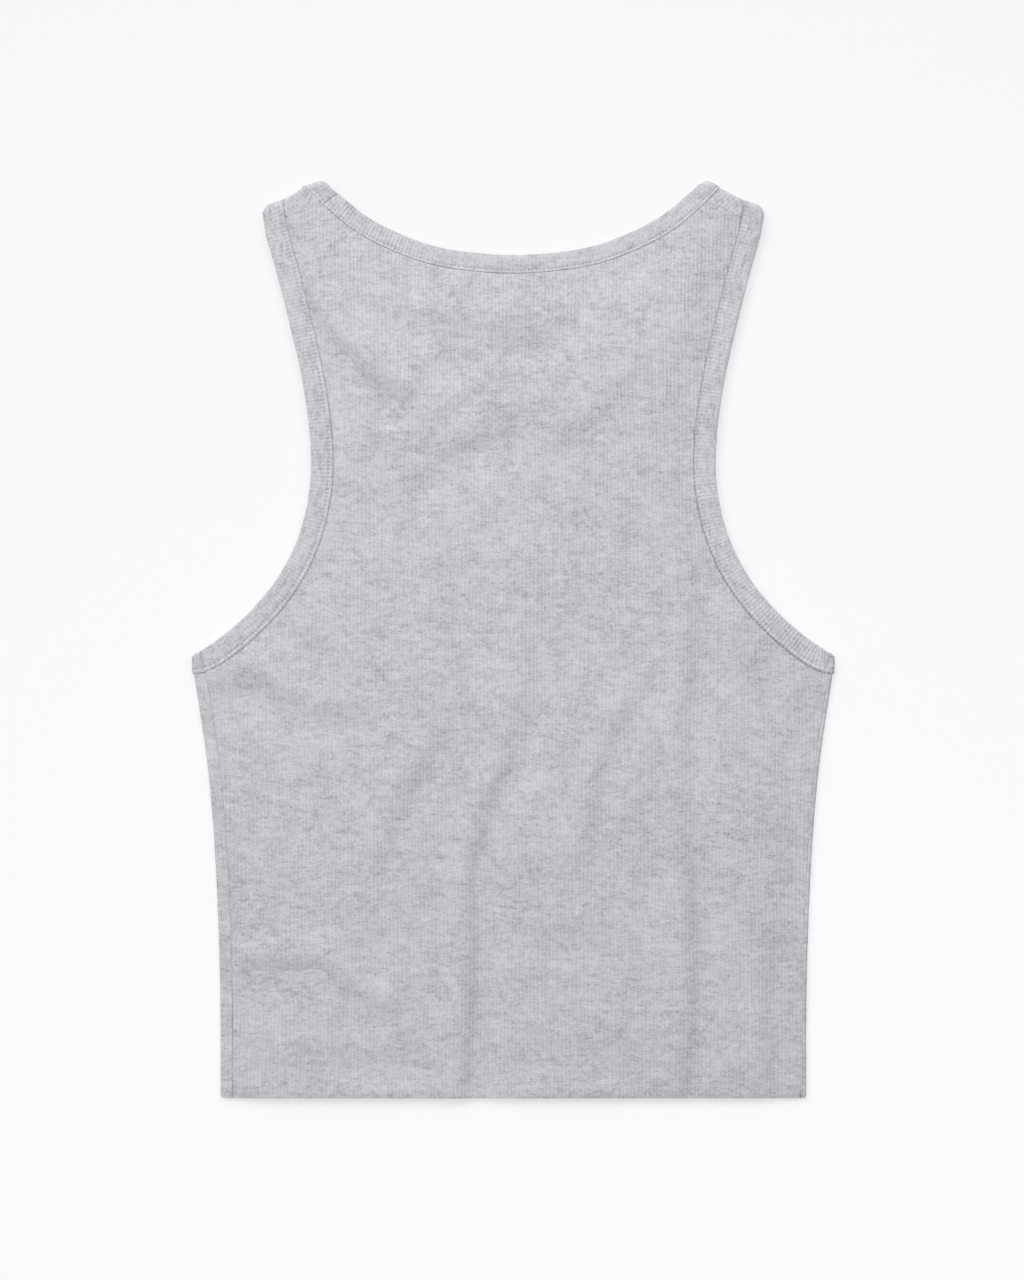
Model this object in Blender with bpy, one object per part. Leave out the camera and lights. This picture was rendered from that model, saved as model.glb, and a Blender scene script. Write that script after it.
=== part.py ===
"""Cropped tank top in fine rib knit, laid out flat with its back panel uppermost.

Run it with: blender --background --python part.py

+Y runs from the hem to the shoulders, +X is to the right, and +Z is up from the surface
that the top lies on. Sizes are in millimetres until a mesh is made. "up" is a height
above the hem, and "half" is a distance from the centre line. Right-hand curves are given,
and the left-hand ones are their mirror images. The front panel lies underneath. It comes
round both side folds and both shoulder folds to the seams, which sit on the back.
"""

import math

import bmesh
import bpy
import numpy as np
from mathutils import Vector
from mathutils.geometry import delaunay_2d_cdt


def table(columns, *rows):
    """A small table with named columns."""
    return dict(zip(columns.split(), np.array(rows, dtype=float).T))


# Cloth and binding
CLOTH = 1.2
BINDING = 2.0
GAP = 0.3
FOLD_GAP = 0.8  # between the front panel and a binding where both turn over a fold
NECK_WIDTH = 9.6
ARM_WIDTH = 11.6
RIB_PITCH = 2.0
RIB_HEIGHT = 0.35

# How high the back layer lies: over the front panel, and over the front's bindings. It stays at the full height a
# little past a binding's edge, and comes down from there over these lengths.
OVER_PANEL = CLOTH + GAP
OVER_BINDING = BINDING + GAP
PAST_NECK = 1.7
PAST_ARM = 1.2
PANEL_SLOPE = 13.0
SCOOP_SLOPE = 17.0
ARM_SLOPE = 14.0

# The side fold from the hem to the underarm
SIDE = table(
    "up half",
    (0, 153.6),
    (60, 153.9),
    (100, 155.1),
    (140, 157.3),
    (175, 160.5),
    (205, 164.8),
    (229, 168.5),
)

# Centre line of the back's armhole binding, from above the shoulder fold to past the side fold
ARMHOLE = table(
    "half up",
    (127.4, 472.5),
    (126.4, 468.0),
    (124.4, 456.0),
    (119.2, 437.0),
    (111.8, 408.0),
    (104.7, 376.0),
    (100.6, 345.0),
    (100.4, 324.0),
    (103.9, 303.0),
    (110.3, 284.5),
    (119.5, 268.1),
    (138.4, 246.4),
    (151.4, 235.6),
    (159.0, 230.6),
    (165.0, 228.4),
    (169.5, 228.0),
    (176.0, 228.0),
)
FRONT_SCOOP = 4.0  # how much further the front's armhole is cut in, half way down

# Centre line of the back's neck binding, from the centre to above the shoulder fold
NECK_BACK = table(
    "half up",
    (0.0, 437.0),
    (22.0, 438.3),
    (42.0, 441.6),
    (61.0, 448.3),
    (79.0, 457.5),
    (90.0, 465.8),
    (103.6, 479.1),
    (108.0, 483.6),
)

# Centre line of the front's neck binding
NECK_FRONT = table(
    "half up",
    (0.0, 356.5),
    (24.0, 358.5),
    (48.0, 366.5),
    (72.0, 385.5),
    (88.0, 412.0),
    (97.0, 440.0),
    (101.8, 462.0),
    (103.6, 479.1),
    (103.8, 484.0),
)

# The shoulder fold: a point on it and its slope, and how far below it the shoulder seam runs
SHOULDER_POINT = (110.4, 475.8)
SHOULDER_SLOPE = -0.486
SHOULDER_SEAM_INSET = 9.2

# How far each side seam runs inside its fold: the top lies with its side seams turned a little to the right
SIDE_SEAM_INSET = {"left": 6.6, "right": 2.3}

# Soft creases across the back, as straight troughs in cloth that is otherwise a little slack, but tight at its edges
SLACK = 0.9
TIGHT_EDGE = 3.0
SLACK_SLOPE = 22.0
CREASES = table(
    "x0 up0 x1 up1 spread depth",
    (-112, 421, -57, 366, 8, 0.8),
    (-44, 403, 19, 395, 8, 0.6),
    (-54, 318, 4, 358, 9, 0.7),
    (24, 345, 66, 382, 9, 0.6),
    (-38, 193, -75, 114, 10, 0.6),
    (9, 240, -23, 114, 9, 0.9),
    (-23, 114, -28, 0, 8, 0.9),
    (66, 214, 32, 125, 10, 0.6),
    (92, 219, 98, 104, 10, 0.6),
    (98, 104, 95, 0, 10, 0.5),
    (-160, 221, -88, 201, 8, 0.6),
    (129, 250, 150, 140, 8, 0.5),
)

# Mesh spacing
OUTLINE_STEP = 4.0
SECTION_STEP = 7.0
PLAIN_STEP = 10.0
ROWS = (48, 96, 144, 192, 240, 288, 326, 405, 440)
FOLD_STEPS = 4
RIBS_FROM = 0.3  # the share of a fold's turn after which ribs stand out on it
HALF_STRIP = 14.0  # more than half the length and the whole width of a shoulder strip
BEYOND = 10.0  # how far guide lines run past the garment
HALF_SPAN = 180.0
TOTAL_LENGTH = 480.0

GREY = (0.545, 0.535, 0.56, 1.0)
MERGE = 0.02
MM = 0.001


# Curves in the plane


def smooth_step(value):
    value = np.clip(value, 0.0, 1.0)
    return value * value * (3.0 - 2.0 * value)


def hermite(knots, values, at):
    """A smooth curve through values at the knots."""
    slope = np.gradient(values, knots)
    i = np.clip(np.searchsorted(knots, at, side="right") - 1, 0, len(knots) - 2)
    span = knots[i + 1] - knots[i]
    q = (at - knots[i]) / span
    start = (1 + 2 * q) * (1 - q) ** 2 * values[i] + q * (1 - q) ** 2 * span * slope[i]
    end = q**2 * (3 - 2 * q) * values[i + 1] + q**2 * (q - 1) * span * slope[i + 1]
    return start + end


def lengths(path):
    """The distance along the path to each of its points."""
    steps = np.hypot(*np.diff(path, axis=0).T)
    return np.concatenate([[0.0], np.cumsum(steps)])


def resample(path, step):
    along = lengths(path)
    count = max(1, round(along[-1] / step))
    at = np.linspace(0.0, along[-1], count + 1)
    return np.stack([np.interp(at, along, axis) for axis in path.T], axis=1)


def smooth_path(x, y, step=1.0):
    knots = lengths(np.stack([x, y], axis=1))
    at = np.linspace(0.0, knots[-1], int(knots[-1] / step) + 1)
    return np.stack([hermite(knots, x, at), hermite(knots, y, at)], axis=1)


def directions(path):
    ahead = np.gradient(path, axis=0)
    return ahead / np.hypot(*ahead.T)[:, None]


def offset(path, distance):
    """The path moved to the right of its own direction."""
    ahead = directions(path)
    return path + distance * np.stack([ahead[:, 1], -ahead[:, 0]], axis=1)


def mirrored(path):
    """The mirror image in the centre line, run the other way."""
    return path[::-1] * np.array([-1.0, 1.0])


def both_halves(half):
    """A left-to-right path from a right half that starts on the centre line."""
    x = np.concatenate([-half["half"][:0:-1], half["half"]])
    y = np.concatenate([half["up"][:0:-1], half["up"]])
    return smooth_path(x, y)


def clip(path, inside):
    """The stretch of the path where inside(points) is positive, cut exactly where it becomes zero."""
    value = inside(path)
    kept = np.flatnonzero(value > 0)
    first, last = kept[0], kept[-1]
    points = [path[first : last + 1]]
    if first > 0:
        share = value[first] / (value[first] - value[first - 1])
        points.insert(0, (path[first] + share * (path[first - 1] - path[first]))[None])
    if last < len(path) - 1:
        share = value[last] / (value[last] - value[last + 1])
        points.append((path[last] + share * (path[last + 1] - path[last]))[None])
    return np.concatenate(points)


def signed_distance(path, points):
    """The distance of each point to the path, positive on the path's right."""
    start, step = path[:-1], np.diff(path, axis=0)
    away = points[:, None] - start[None]
    share = np.clip((away * step).sum(2) / (step**2).sum(1), 0.0, 1.0)
    away -= share[..., None] * step
    distance = np.hypot(away[..., 0], away[..., 1])
    nearest = distance.argmin(1)
    here = np.arange(len(points))
    side = step[nearest, 1] * away[here, nearest, 0] - step[nearest, 0] * away[here, nearest, 1]
    return distance[here, nearest] * np.where(side < 0.0, -1.0, 1.0)


# The garment's lines, seen from above


def side_half(up):
    return hermite(SIDE["up"], SIDE["half"], np.clip(up, 0.0, SIDE["up"][-1]))


ARM_RIGHT = smooth_path(ARMHOLE["half"], ARMHOLE["up"])
ARM_LEFT = mirrored(ARM_RIGHT)
NECK = both_halves(NECK_BACK)
NECK_UNDER = both_halves(NECK_FRONT)
ARM_SHARE = lengths(ARM_RIGHT) / lengths(ARM_RIGHT)[-1]
ARM_AHEAD = directions(ARM_RIGHT)
ARM_INWARD = np.stack([ARM_AHEAD[:, 1], -ARM_AHEAD[:, 0]], axis=1)
ARM_UNDER_RIGHT = ARM_RIGHT + FRONT_SCOOP * np.sin(math.pi * ARM_SHARE)[:, None] ** 2 * ARM_INWARD
ARM_UNDER_LEFT = mirrored(ARM_UNDER_RIGHT)


def bed(points):
    """How high the back layer's lower side lies over what is beneath it."""
    over_neck = signed_distance(NECK_UNDER, points)
    beside = np.maximum(0.0, np.abs(over_neck) - NECK_WIDTH / 2 - PAST_NECK)
    arms = np.minimum(np.abs(signed_distance(ARM_RIGHT, points)), np.abs(signed_distance(ARM_LEFT, points)))
    arm_rise = 1.0 - smooth_step((arms - ARM_WIDTH / 2 - FRONT_SCOOP - PAST_ARM) / ARM_SLOPE)
    neck_rise = 1.0 - smooth_step(beside / PANEL_SLOPE)
    on_panel = OVER_PANEL + (OVER_BINDING - OVER_PANEL) * np.maximum(arm_rise, neck_rise)
    in_scoop = OVER_BINDING * (1.0 - smooth_step(beside / SCOOP_SLOPE))
    return np.where(over_neck > 0, on_panel, in_scoop)


def slack(points):
    """How far the back panel stands off that bed, with its creases."""
    edge = side_half(points[:, 1]) - np.abs(points[:, 0]) - max(SIDE_SEAM_INSET.values())
    for line, width in ((ARM_RIGHT, ARM_WIDTH), (ARM_LEFT, ARM_WIDTH), (NECK, NECK_WIDTH)):
        edge = np.minimum(edge, np.abs(signed_distance(line, points)) - width / 2)
    height = np.full(len(points), SLACK)
    for x0, up0, x1, up1, spread, depth in zip(*CREASES.values()):
        line = np.array([[x0, up0], [x1, up1]])
        height -= depth * np.exp(-((signed_distance(line, points) / spread) ** 2))
    return np.maximum(0.0, height) * smooth_step((edge - TIGHT_EDGE) / SLACK_SLOPE)


def rib(across):
    """Rounded ribs, highest at each whole pitch."""
    return RIB_HEIGHT * (0.5 + 0.5 * np.cos(2 * math.pi * across / RIB_PITCH))


# Folds. Each has an axis line, a direction out of the cloth, and the radius that the layers' heights leave.


class ShoulderFold:
    def __init__(self, sign):
        slope = np.array([1.0, SHOULDER_SLOPE])
        self.along = slope / np.hypot(*slope) * np.array([sign, 1.0])
        self.out = np.array([-SHOULDER_SLOPE, 1.0]) / np.hypot(*slope) * np.array([sign, 1.0])
        self.point = np.array(SHOULDER_POINT) * np.array([sign, 1.0])

    def beyond(self, points, thickness):
        """How far the points lie past the axis round which cloth of this thickness turns."""
        axis = (OVER_BINDING + thickness) / 2
        return (points - self.point) @ self.out + axis

    def radius(self, points):
        return np.full(len(points), OVER_BINDING / 2)

    def seam(self, points):
        """Positive on the back panel's side of the shoulder seam."""
        return -(points - self.point) @ self.out - SHOULDER_SEAM_INSET


class SideFold:
    def __init__(self, sign):
        self.sign = sign
        self.along = np.array([0.0, 1.0])
        self.out = np.array([float(sign), 0.0])
        self.inset = SIDE_SEAM_INSET["right" if sign > 0 else "left"]

    def radius(self, points):
        up = points[:, 1]
        return bed(np.stack([self.sign * (side_half(up) - self.inset), up], axis=1)) / 2

    def beyond(self, points, thickness):
        axis = side_half(points[:, 1]) - self.radius(points) - thickness / 2
        return self.sign * points[:, 0] - axis

    def seam(self, points):
        """Positive on the back panel's side of the side seam."""
        return side_half(points[:, 1]) - self.inset - self.sign * points[:, 0]


SHOULDERS = {"left": ShoulderFold(-1), "right": ShoulderFold(1)}
SIDES = {"left": SideFold(-1), "right": SideFold(1)}


def unfolded(fold, points):
    """Where points of the turned-over cloth lie when it is opened out past the fold."""
    inside = -fold.beyond(points, CLOTH)
    return points + (2 * inside + math.pi * fold.radius(points))[:, None] * fold.out


def place_front(points, depth):
    """The front panel's points from its opened-out shape: depth 0 is its inner face and 1 its outer."""
    flat = np.column_stack([points, np.full(len(points), CLOTH * (1.0 - depth))])
    for fold in (*SHOULDERS.values(), *SIDES.values()):
        past = fold.beyond(points, CLOTH)
        if isinstance(fold, SideFold):
            past = np.where(points[:, 1] > SIDE["up"][-1], -1.0, past)
        there = past > 1e-6
        if not there.any():
            continue
        past, opened = past[there], points[there]
        foot = opened - past[:, None] * fold.out
        turn = fold.radius(opened)
        angle = np.minimum(past / turn, math.pi)
        across = opened[:, 0] if isinstance(fold, ShoulderFold) else past - math.pi * turn
        raised = rib(across) * smooth_step(2 * (angle / math.pi - RIBS_FROM)) * depth
        arm = turn + (depth - 0.5) * CLOTH + raised
        back = np.maximum(0.0, past - math.pi * turn)
        plan = foot + (arm * np.sin(angle) - back)[:, None] * fold.out
        level = turn + CLOTH / 2 - arm * np.cos(angle)
        level += np.where(angle >= math.pi, bed(plan) - 2 * turn, 0.0)
        flat[there] = np.column_stack([plan, level])
    return flat


def place_back(points, depth):
    level = bed(points) + slack(points) + depth * (CLOTH + rib(points[:, 0]))
    return np.column_stack([points, level])


# Meshes


def add_object(name, points, faces):
    bm = bmesh.new()
    verts = [bm.verts.new(Vector(point) * MM) for point in points]
    for face in faces:
        bm.faces.new([verts[i] for i in face])
    bmesh.ops.recalc_face_normals(bm, faces=bm.faces)
    mesh = bpy.data.meshes.new(name)
    bm.to_mesh(mesh)
    bm.free()
    mesh.shade_smooth()
    mesh.set_sharp_from_angle(angle=math.radians(30))
    material = bpy.data.materials.new(name)
    material.use_nodes = True
    shader = material.node_tree.nodes["Principled BSDF"]
    shader.inputs["Base Color"].default_value = GREY
    shader.inputs["Roughness"].default_value = 0.95
    shader.inputs["Metallic"].default_value = 0.0
    mesh.materials.append(material)
    obj = bpy.data.objects.new(name, mesh)
    bpy.context.scene.collection.objects.link(obj)
    return obj


def cut_piece(outline, lines):
    """The flat piece inside the outline as points and triangles, with edges along the lines."""
    corners = [Vector(point) for point in outline]
    edges = []
    for line in lines:
        first = len(corners)
        corners.extend(Vector(point) for point in line)
        edges.extend((i, i + 1) for i in range(first, len(corners) - 1))
    face = list(range(len(outline)))
    points, _, faces, _, _, sources = delaunay_2d_cdt(corners, edges, [face], 0, MERGE, True)
    inside = np.array([face for face, source in zip(faces, sources) if source])
    used, faces = np.unique(inside, return_inverse=True)
    return np.array(points)[used], faces.reshape(inside.shape)


def rim(faces, start):
    """The piece's edge as a loop of point numbers from the start point."""
    sides = {(a, b) for face in faces.tolist() for a, b in zip(face, face[1:] + face[:1])}
    following = {a: b for a, b in sides if (b, a) not in sides}
    loop = [start]
    while following[loop[-1]] != start:
        loop.append(following[loop[-1]])
    return loop


def nearest(points, place):
    return int(np.hypot(*(points - place).T).argmin())


def joined_rims(outer, inner, outer_points, inner_points):
    """Triangles between two loops that run along the same outline with different points on it."""
    outer_at = lengths(outer_points[outer + outer[:1]])
    inner_at = lengths(inner_points[inner + inner[:1]])
    shift = len(outer_points)
    faces = []
    i = j = 0
    while i < len(outer) or j < len(inner):
        a, b = outer[i % len(outer)], shift + inner[j % len(inner)]
        if j == len(inner) or (i < len(outer) and outer_at[i + 1] <= inner_at[j + 1]):
            i += 1
            faces.append((a, b, outer[i % len(outer)]))
        else:
            j += 1
            faces.append((a, b, shift + inner[j % len(inner)]))
    return faces


def add_wall(name, outline, fine_lines, plain_lines, place):
    """A cloth wall: its outer face is cut along the fine lines, its inner face along the plain ones."""
    outer, outer_faces = cut_piece(outline, fine_lines)
    inner, inner_faces = cut_piece(outline, plain_lines)
    outer_rim = rim(outer_faces, nearest(outer, outline[0]))
    inner_rim = rim(inner_faces, nearest(inner, outline[0]))
    faces = outer_faces.tolist() + (inner_faces[:, ::-1] + len(outer)).tolist()
    faces += joined_rims(outer_rim, inner_rim, outer, inner)
    return add_object(name, np.concatenate([place(outer, 1.0), place(inner, 0.0)]), faces)


# Panels


def upright(x):
    return [(x, -BEYOND), (x, TOTAL_LENGTH + BEYOND)]


def level(up):
    return [(-HALF_SPAN, up), (HALF_SPAN, up)]


def neck_parallels():
    """Lines beside the front's neck binding, where the back panel steps over it."""
    high = NECK_WIDTH / 2 + PAST_NECK
    distances = (high + PANEL_SLOPE, high, -high, -high - SCOOP_SLOPE)
    return [resample(offset(NECK_UNDER, distance), SECTION_STEP) for distance in distances]


def below_seams(points):
    return np.minimum(SHOULDERS["left"].seam(points), SHOULDERS["right"].seam(points)) - GAP / 2


def edge_path(path, width, inside):
    """The panel's edge beside a binding, within the given limits."""
    return resample(clip(offset(path, width / 2 + GAP), inside), OUTLINE_STEP)


def side_seam(fold, top):
    up = np.linspace(0.0, top, round(top / SECTION_STEP) + 1)
    return np.stack([fold.sign * (side_half(up) - fold.inset), up], axis=1)


def add_back_panel():
    def right_limits(points):
        return np.minimum(SHOULDERS["right"].seam(points), SIDES["right"].seam(points)) - GAP / 2

    def left_limits(points):
        return np.minimum(SHOULDERS["left"].seam(points), SIDES["left"].seam(points)) - GAP / 2

    right = edge_path(ARM_RIGHT, ARM_WIDTH, right_limits)[::-1]
    left = edge_path(ARM_LEFT, ARM_WIDTH, left_limits)[::-1]
    neck = edge_path(NECK, NECK_WIDTH, below_seams)[::-1]
    right_seam = side_seam(SIDES["right"], right[0][1])[:-1] - np.array([GAP / 2, 0.0])
    left_seam = side_seam(SIDES["left"], left[-1][1])[:-1] + np.array([GAP / 2, 0.0])
    outline = np.concatenate([right_seam, right, neck, left, left_seam[::-1]])
    across = int(SIDE["half"][-1] / RIB_PITCH * 2)
    ribs = [upright(k * RIB_PITCH / 2) for k in range(-across, across + 1)]
    wide = SIDE["half"][0]
    plain = [upright(x) for x in np.linspace(-wide, wide, round(2 * wide / PLAIN_STEP) + 1)]
    courses = [level(up) for up in ROWS] + neck_parallels()
    return add_wall("back_panel", outline, ribs + courses, plain + courses, place_back)


def turn_lines(fold, axis):
    """Lines along a fold, spread round its turn from the given axis line."""
    turns = [k / FOLD_STEPS * math.pi * fold.radius(axis) for k in range(FOLD_STEPS + 1)]
    return [axis + turned[:, None] * fold.out for turned in turns]


def shoulder_strip(side):
    """The front panel's edge over one shoulder, opened out, from the armhole to the neck."""
    fold = SHOULDERS[side]
    arm = ARM_RIGHT if side == "right" else ARM_LEFT[::-1]

    def turned_over(points):
        return np.minimum(-fold.beyond(points, BINDING), -fold.seam(points) - GAP / 2)

    sign = 1.0 if side == "right" else -1.0
    arm_edge = clip(offset(arm, sign * (ARM_WIDTH / 2 + FOLD_GAP)), turned_over)
    half_neck = NECK[NECK[:, 0] * sign > 0]
    neck_edge = clip(offset(half_neck, NECK_WIDTH / 2 + FOLD_GAP), turned_over)
    if side == "left":
        neck_edge = neck_edge[::-1]
    arm_edge = unfolded(fold, resample(arm_edge, OUTLINE_STEP))
    neck_edge = unfolded(fold, resample(neck_edge, OUTLINE_STEP))
    return np.concatenate([arm_edge, neck_edge])


def add_front_panel():
    def under(points):
        value = np.full(len(points), np.inf)
        for fold in SHOULDERS.values():
            value = np.minimum(value, -fold.beyond(points, BINDING))
        for fold in SIDES.values():
            low = points[:, 1] < SIDE["up"][-1]
            value = np.minimum(value, np.where(low, -fold.beyond(points, BINDING), np.inf))
        return value

    right = edge_path(ARM_UNDER_RIGHT, ARM_WIDTH, under)[::-1]
    left = edge_path(ARM_UNDER_LEFT, ARM_WIDTH, under)[::-1]
    neck = edge_path(NECK_UNDER, NECK_WIDTH, under)[::-1]
    right_strip = shoulder_strip("right")
    left_strip = shoulder_strip("left")[::-1]
    seams = {}
    for side, fold in SIDES.items():
        end = right[0] if side == "right" else left[-1]
        seam = side_seam(fold, end[1] + GAP - FOLD_GAP) + np.array([fold.sign * GAP / 2, 0.0])
        seams[side] = unfolded(fold, seam)
    outline = [seams["right"], right, right_strip, neck, left_strip, left, seams["left"][::-1]]
    outline = np.concatenate(outline)

    turns, ribs = [], []
    for fold in SIDES.values():
        up = np.linspace(-1.0, right[0][1] + 1.0, len(SIDE["up"]) + 1)
        axis = np.stack([fold.sign * side_half(up), up], axis=1)
        axis -= fold.beyond(axis, CLOTH)[:, None] * fold.out
        turns += turn_lines(fold, axis)
        strip = np.arange(RIB_PITCH / 2, fold.inset - CLOTH, RIB_PITCH / 2)
        ribs += [axis + (math.pi * fold.radius(axis) + past)[:, None] * fold.out for past in strip]
    for fold in SHOULDERS.values():
        ends = fold.point + np.outer([-2 * HALF_STRIP, 2 * HALF_STRIP], fold.along)
        ends -= fold.beyond(ends, CLOTH)[:, None] * fold.out
        turns += turn_lines(fold, ends)
        for across in np.arange(-2 * HALF_STRIP, 2 * HALF_STRIP + 1.0, RIB_PITCH / 2):
            x = round(fold.point[0]) + across
            start = ends[0] + (x - ends[0][0]) / fold.along[0] * fold.along
            ribs.append([start, start + [0.0, 2 * HALF_STRIP]])
    wide = SIDE["half"][0] - PLAIN_STEP
    plain = [upright(x) for x in np.linspace(-wide, wide, round(wide / PLAIN_STEP) + 1)]
    plain += [level(up) for up in ROWS if up < NECK_FRONT["up"][2]] + turns
    return add_wall("front_panel", outline, plain + ribs, plain, place_front)


# Bindings

# Round a binding's section: across is -1 at the panel and 1 at the free edge, level runs from inside to outside
BINDING_SECTION = table(
    "across level",
    (-1.0, 0.0),
    (-1.0, 1.0),
    (0.0, 1.0),
    (0.8, 1.0),
    (1.0, 0.65),
    (1.0, 0.35),
    (0.8, 0.0),
    (0.0, 0.0),
)
TURN_LENGTH = 14.0  # over this length a binding's sections turn from square to the fold's own line
CORNER = 2.2  # how much the free edge is rounded off at a fold


def wings(path, half_width, folds):
    """For each section, the vector from its centre to its free edge, which lies along the fold at each end."""
    ahead = directions(path)
    left = np.stack([-ahead[:, 1], ahead[:, 0]], axis=1)
    along = lengths(path)
    facing = left.copy()
    for fold, distance, end in zip(folds, (along, along[-1] - along), (0, -1)):
        line = fold.along * np.sign(fold.along @ left[end])
        share = (1.0 - smooth_step(distance / TURN_LENGTH))[:, None]
        facing = facing * (1.0 - share) + line * share
    facing /= np.hypot(*facing.T)[:, None]
    return facing * half_width / (facing * left).sum(1)[:, None]


def add_binding(name, over, under, width, folds):
    """A folded strip along the path over the garment, round the second fold, back underneath and up the first."""

    def between(points):
        return -np.maximum(folds[0].beyond(points, BINDING), folds[1].beyond(points, BINDING))

    top = resample(clip(over, between), SECTION_STEP)
    bottom = resample(clip(under, between), SECTION_STEP)
    top_wings = wings(top, width / 2, folds)
    bottom_wings = wings(bottom, width / 2, folds)
    across, level = BINDING_SECTION["across"], BINDING_SECTION["level"]
    turn = OVER_BINDING / 2
    sections = []

    def rounded(fold, share):
        return share * CORNER * np.maximum(across, 0.0)[:, None] ** 4 * fold.out

    def flat_section(path, vectors, i, lying):
        plan = path[i] + across[:, None] * vectors[i]
        for fold, end in zip(folds, (0, -1)):
            far = np.hypot(*(path[i] - path[end]))
            plan = plan - rounded(fold, 1.0 - smooth_step(far / TURN_LENGTH))
        heights = bed(plan) + level * BINDING if lying == "over" else (1.0 - level) * BINDING
        sections.append(np.column_stack([plan, heights]))

    def fold_sections(fold, start, start_wing, end, end_wing, rising):
        for k in range(1, FOLD_STEPS + 1):
            share = k / (FOLD_STEPS + 1)
            angle = math.pi * (1.0 - share if rising else share)
            centre = start + share * (end - start)
            wing = start_wing + share * (end_wing - start_wing)
            arm = turn + (level - 0.5) * BINDING
            plan = centre + across[:, None] * wing - rounded(fold, 1.0)
            plan = plan + (arm * math.sin(angle))[:, None] * fold.out
            heights = turn + BINDING / 2 + arm * math.cos(angle)
            sections.append(np.column_stack([plan, heights]))

    for i in range(len(top)):
        flat_section(top, top_wings, i, "over")
    fold_sections(folds[1], top[-1], top_wings[-1], bottom[-1], bottom_wings[-1], rising=False)
    for i in reversed(range(len(bottom))):
        flat_section(bottom, bottom_wings, i, "under")
    fold_sections(folds[0], bottom[0], bottom_wings[0], top[0], top_wings[0], rising=True)

    round_count, count = len(across), len(sections)
    faces = []
    for s in range(count):
        for r in range(round_count):
            a, b = s * round_count + r, s * round_count + (r + 1) % round_count
            c, d = ((s + 1) % count) * round_count + r, ((s + 1) % count) * round_count + (r + 1) % round_count
            faces.append((a, b, d, c))
    return add_object(name, np.concatenate(sections), faces)


def main():
    for obj in list(bpy.data.objects):
        bpy.data.objects.remove(obj)
    left_folds = (SIDES["left"], SHOULDERS["left"])
    right_folds = (SHOULDERS["right"], SIDES["right"])
    neck_folds = (SHOULDERS["left"], SHOULDERS["right"])
    pieces = [
        add_back_panel(),
        add_front_panel(),
        add_binding("neck_binding", NECK, NECK_UNDER, NECK_WIDTH, neck_folds),
        add_binding("armhole_binding_left", ARM_LEFT, ARM_UNDER_LEFT, ARM_WIDTH, left_folds),
        add_binding("armhole_binding_right", ARM_RIGHT, ARM_UNDER_RIGHT, ARM_WIDTH, right_folds),
    ]
    # The origin is the middle of the footprint
    length = max(vertex.co.y for piece in pieces for vertex in piece.data.vertices)
    for piece in pieces:
        piece.location.y = -length / 2


main()
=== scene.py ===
"""The looks of a cropped tank top in fine rib knit, laid out flat with its back panel uppermost.

Each wall of cloth and each binding is a fine shell on its solid's form, with real ribs, rolled edges,
sewn lines and soft creases. Lengths are in millimetres until a mesh is made. "up" is a height above the
hem, and "half" is a distance from the centre line. Right-hand curves are given, and the left-hand ones
are their mirror images.
"""

import math

import bmesh
import bpy
import numpy as np
from mathutils import Euler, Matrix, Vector
from mathutils.geometry import delaunay_2d_cdt


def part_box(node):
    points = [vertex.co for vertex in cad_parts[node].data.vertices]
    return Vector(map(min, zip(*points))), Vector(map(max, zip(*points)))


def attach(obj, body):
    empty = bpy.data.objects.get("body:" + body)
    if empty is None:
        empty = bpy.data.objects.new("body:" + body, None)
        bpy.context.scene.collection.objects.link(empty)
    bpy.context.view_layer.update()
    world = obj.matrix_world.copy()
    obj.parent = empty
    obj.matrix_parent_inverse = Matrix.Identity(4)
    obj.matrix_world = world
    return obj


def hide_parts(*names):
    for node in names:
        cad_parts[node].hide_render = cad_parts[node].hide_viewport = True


bl_info = {
    "name": "Rib knit tank top",
    "version": (1, 0, 0),
    "blender": (4, 5, 0),
    "location": "3D View > Sidebar > Tank Top",
    "description": "Builds the cloth, bindings and sewing of a tank top that lies flat",
    "category": "Object",
}

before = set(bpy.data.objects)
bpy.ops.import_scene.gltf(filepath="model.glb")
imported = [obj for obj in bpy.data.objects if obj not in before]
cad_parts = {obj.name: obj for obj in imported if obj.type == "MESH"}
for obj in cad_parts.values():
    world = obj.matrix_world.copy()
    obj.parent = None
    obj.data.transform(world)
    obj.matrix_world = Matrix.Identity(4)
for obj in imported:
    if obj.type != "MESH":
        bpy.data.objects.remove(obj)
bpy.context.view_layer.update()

MM = 0.001
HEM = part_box("back_panel")[0][1] / MM  # where the hem lies along the frame's y


def table(columns, *rows):
    """A small table with named columns."""
    return dict(zip(columns.split(), np.array(rows, dtype=float).T))


# The garment's lines

SIDE = table(
    "up half",
    (0, 153.6),
    (60, 153.9),
    (100, 155.1),
    (140, 157.3),
    (175, 160.5),
    (205, 164.8),
    (229, 168.5),
)
ARMHOLE = table(
    "half up",
    (127.4, 472.5),
    (126.4, 468.0),
    (124.4, 456.0),
    (119.2, 437.0),
    (111.8, 408.0),
    (104.7, 376.0),
    (100.6, 345.0),
    (100.4, 324.0),
    (103.9, 303.0),
    (110.3, 284.5),
    (119.5, 268.1),
    (138.4, 246.4),
    (151.4, 235.6),
    (159.0, 230.6),
    (165.0, 228.4),
    (169.5, 228.0),
    (176.0, 228.0),
)
NECK_BACK = table(
    "half up",
    (0.0, 437.0),
    (22.0, 438.3),
    (42.0, 441.6),
    (61.0, 448.3),
    (79.0, 457.5),
    (90.0, 465.8),
    (103.6, 479.1),
    (108.0, 483.6),
)
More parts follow.
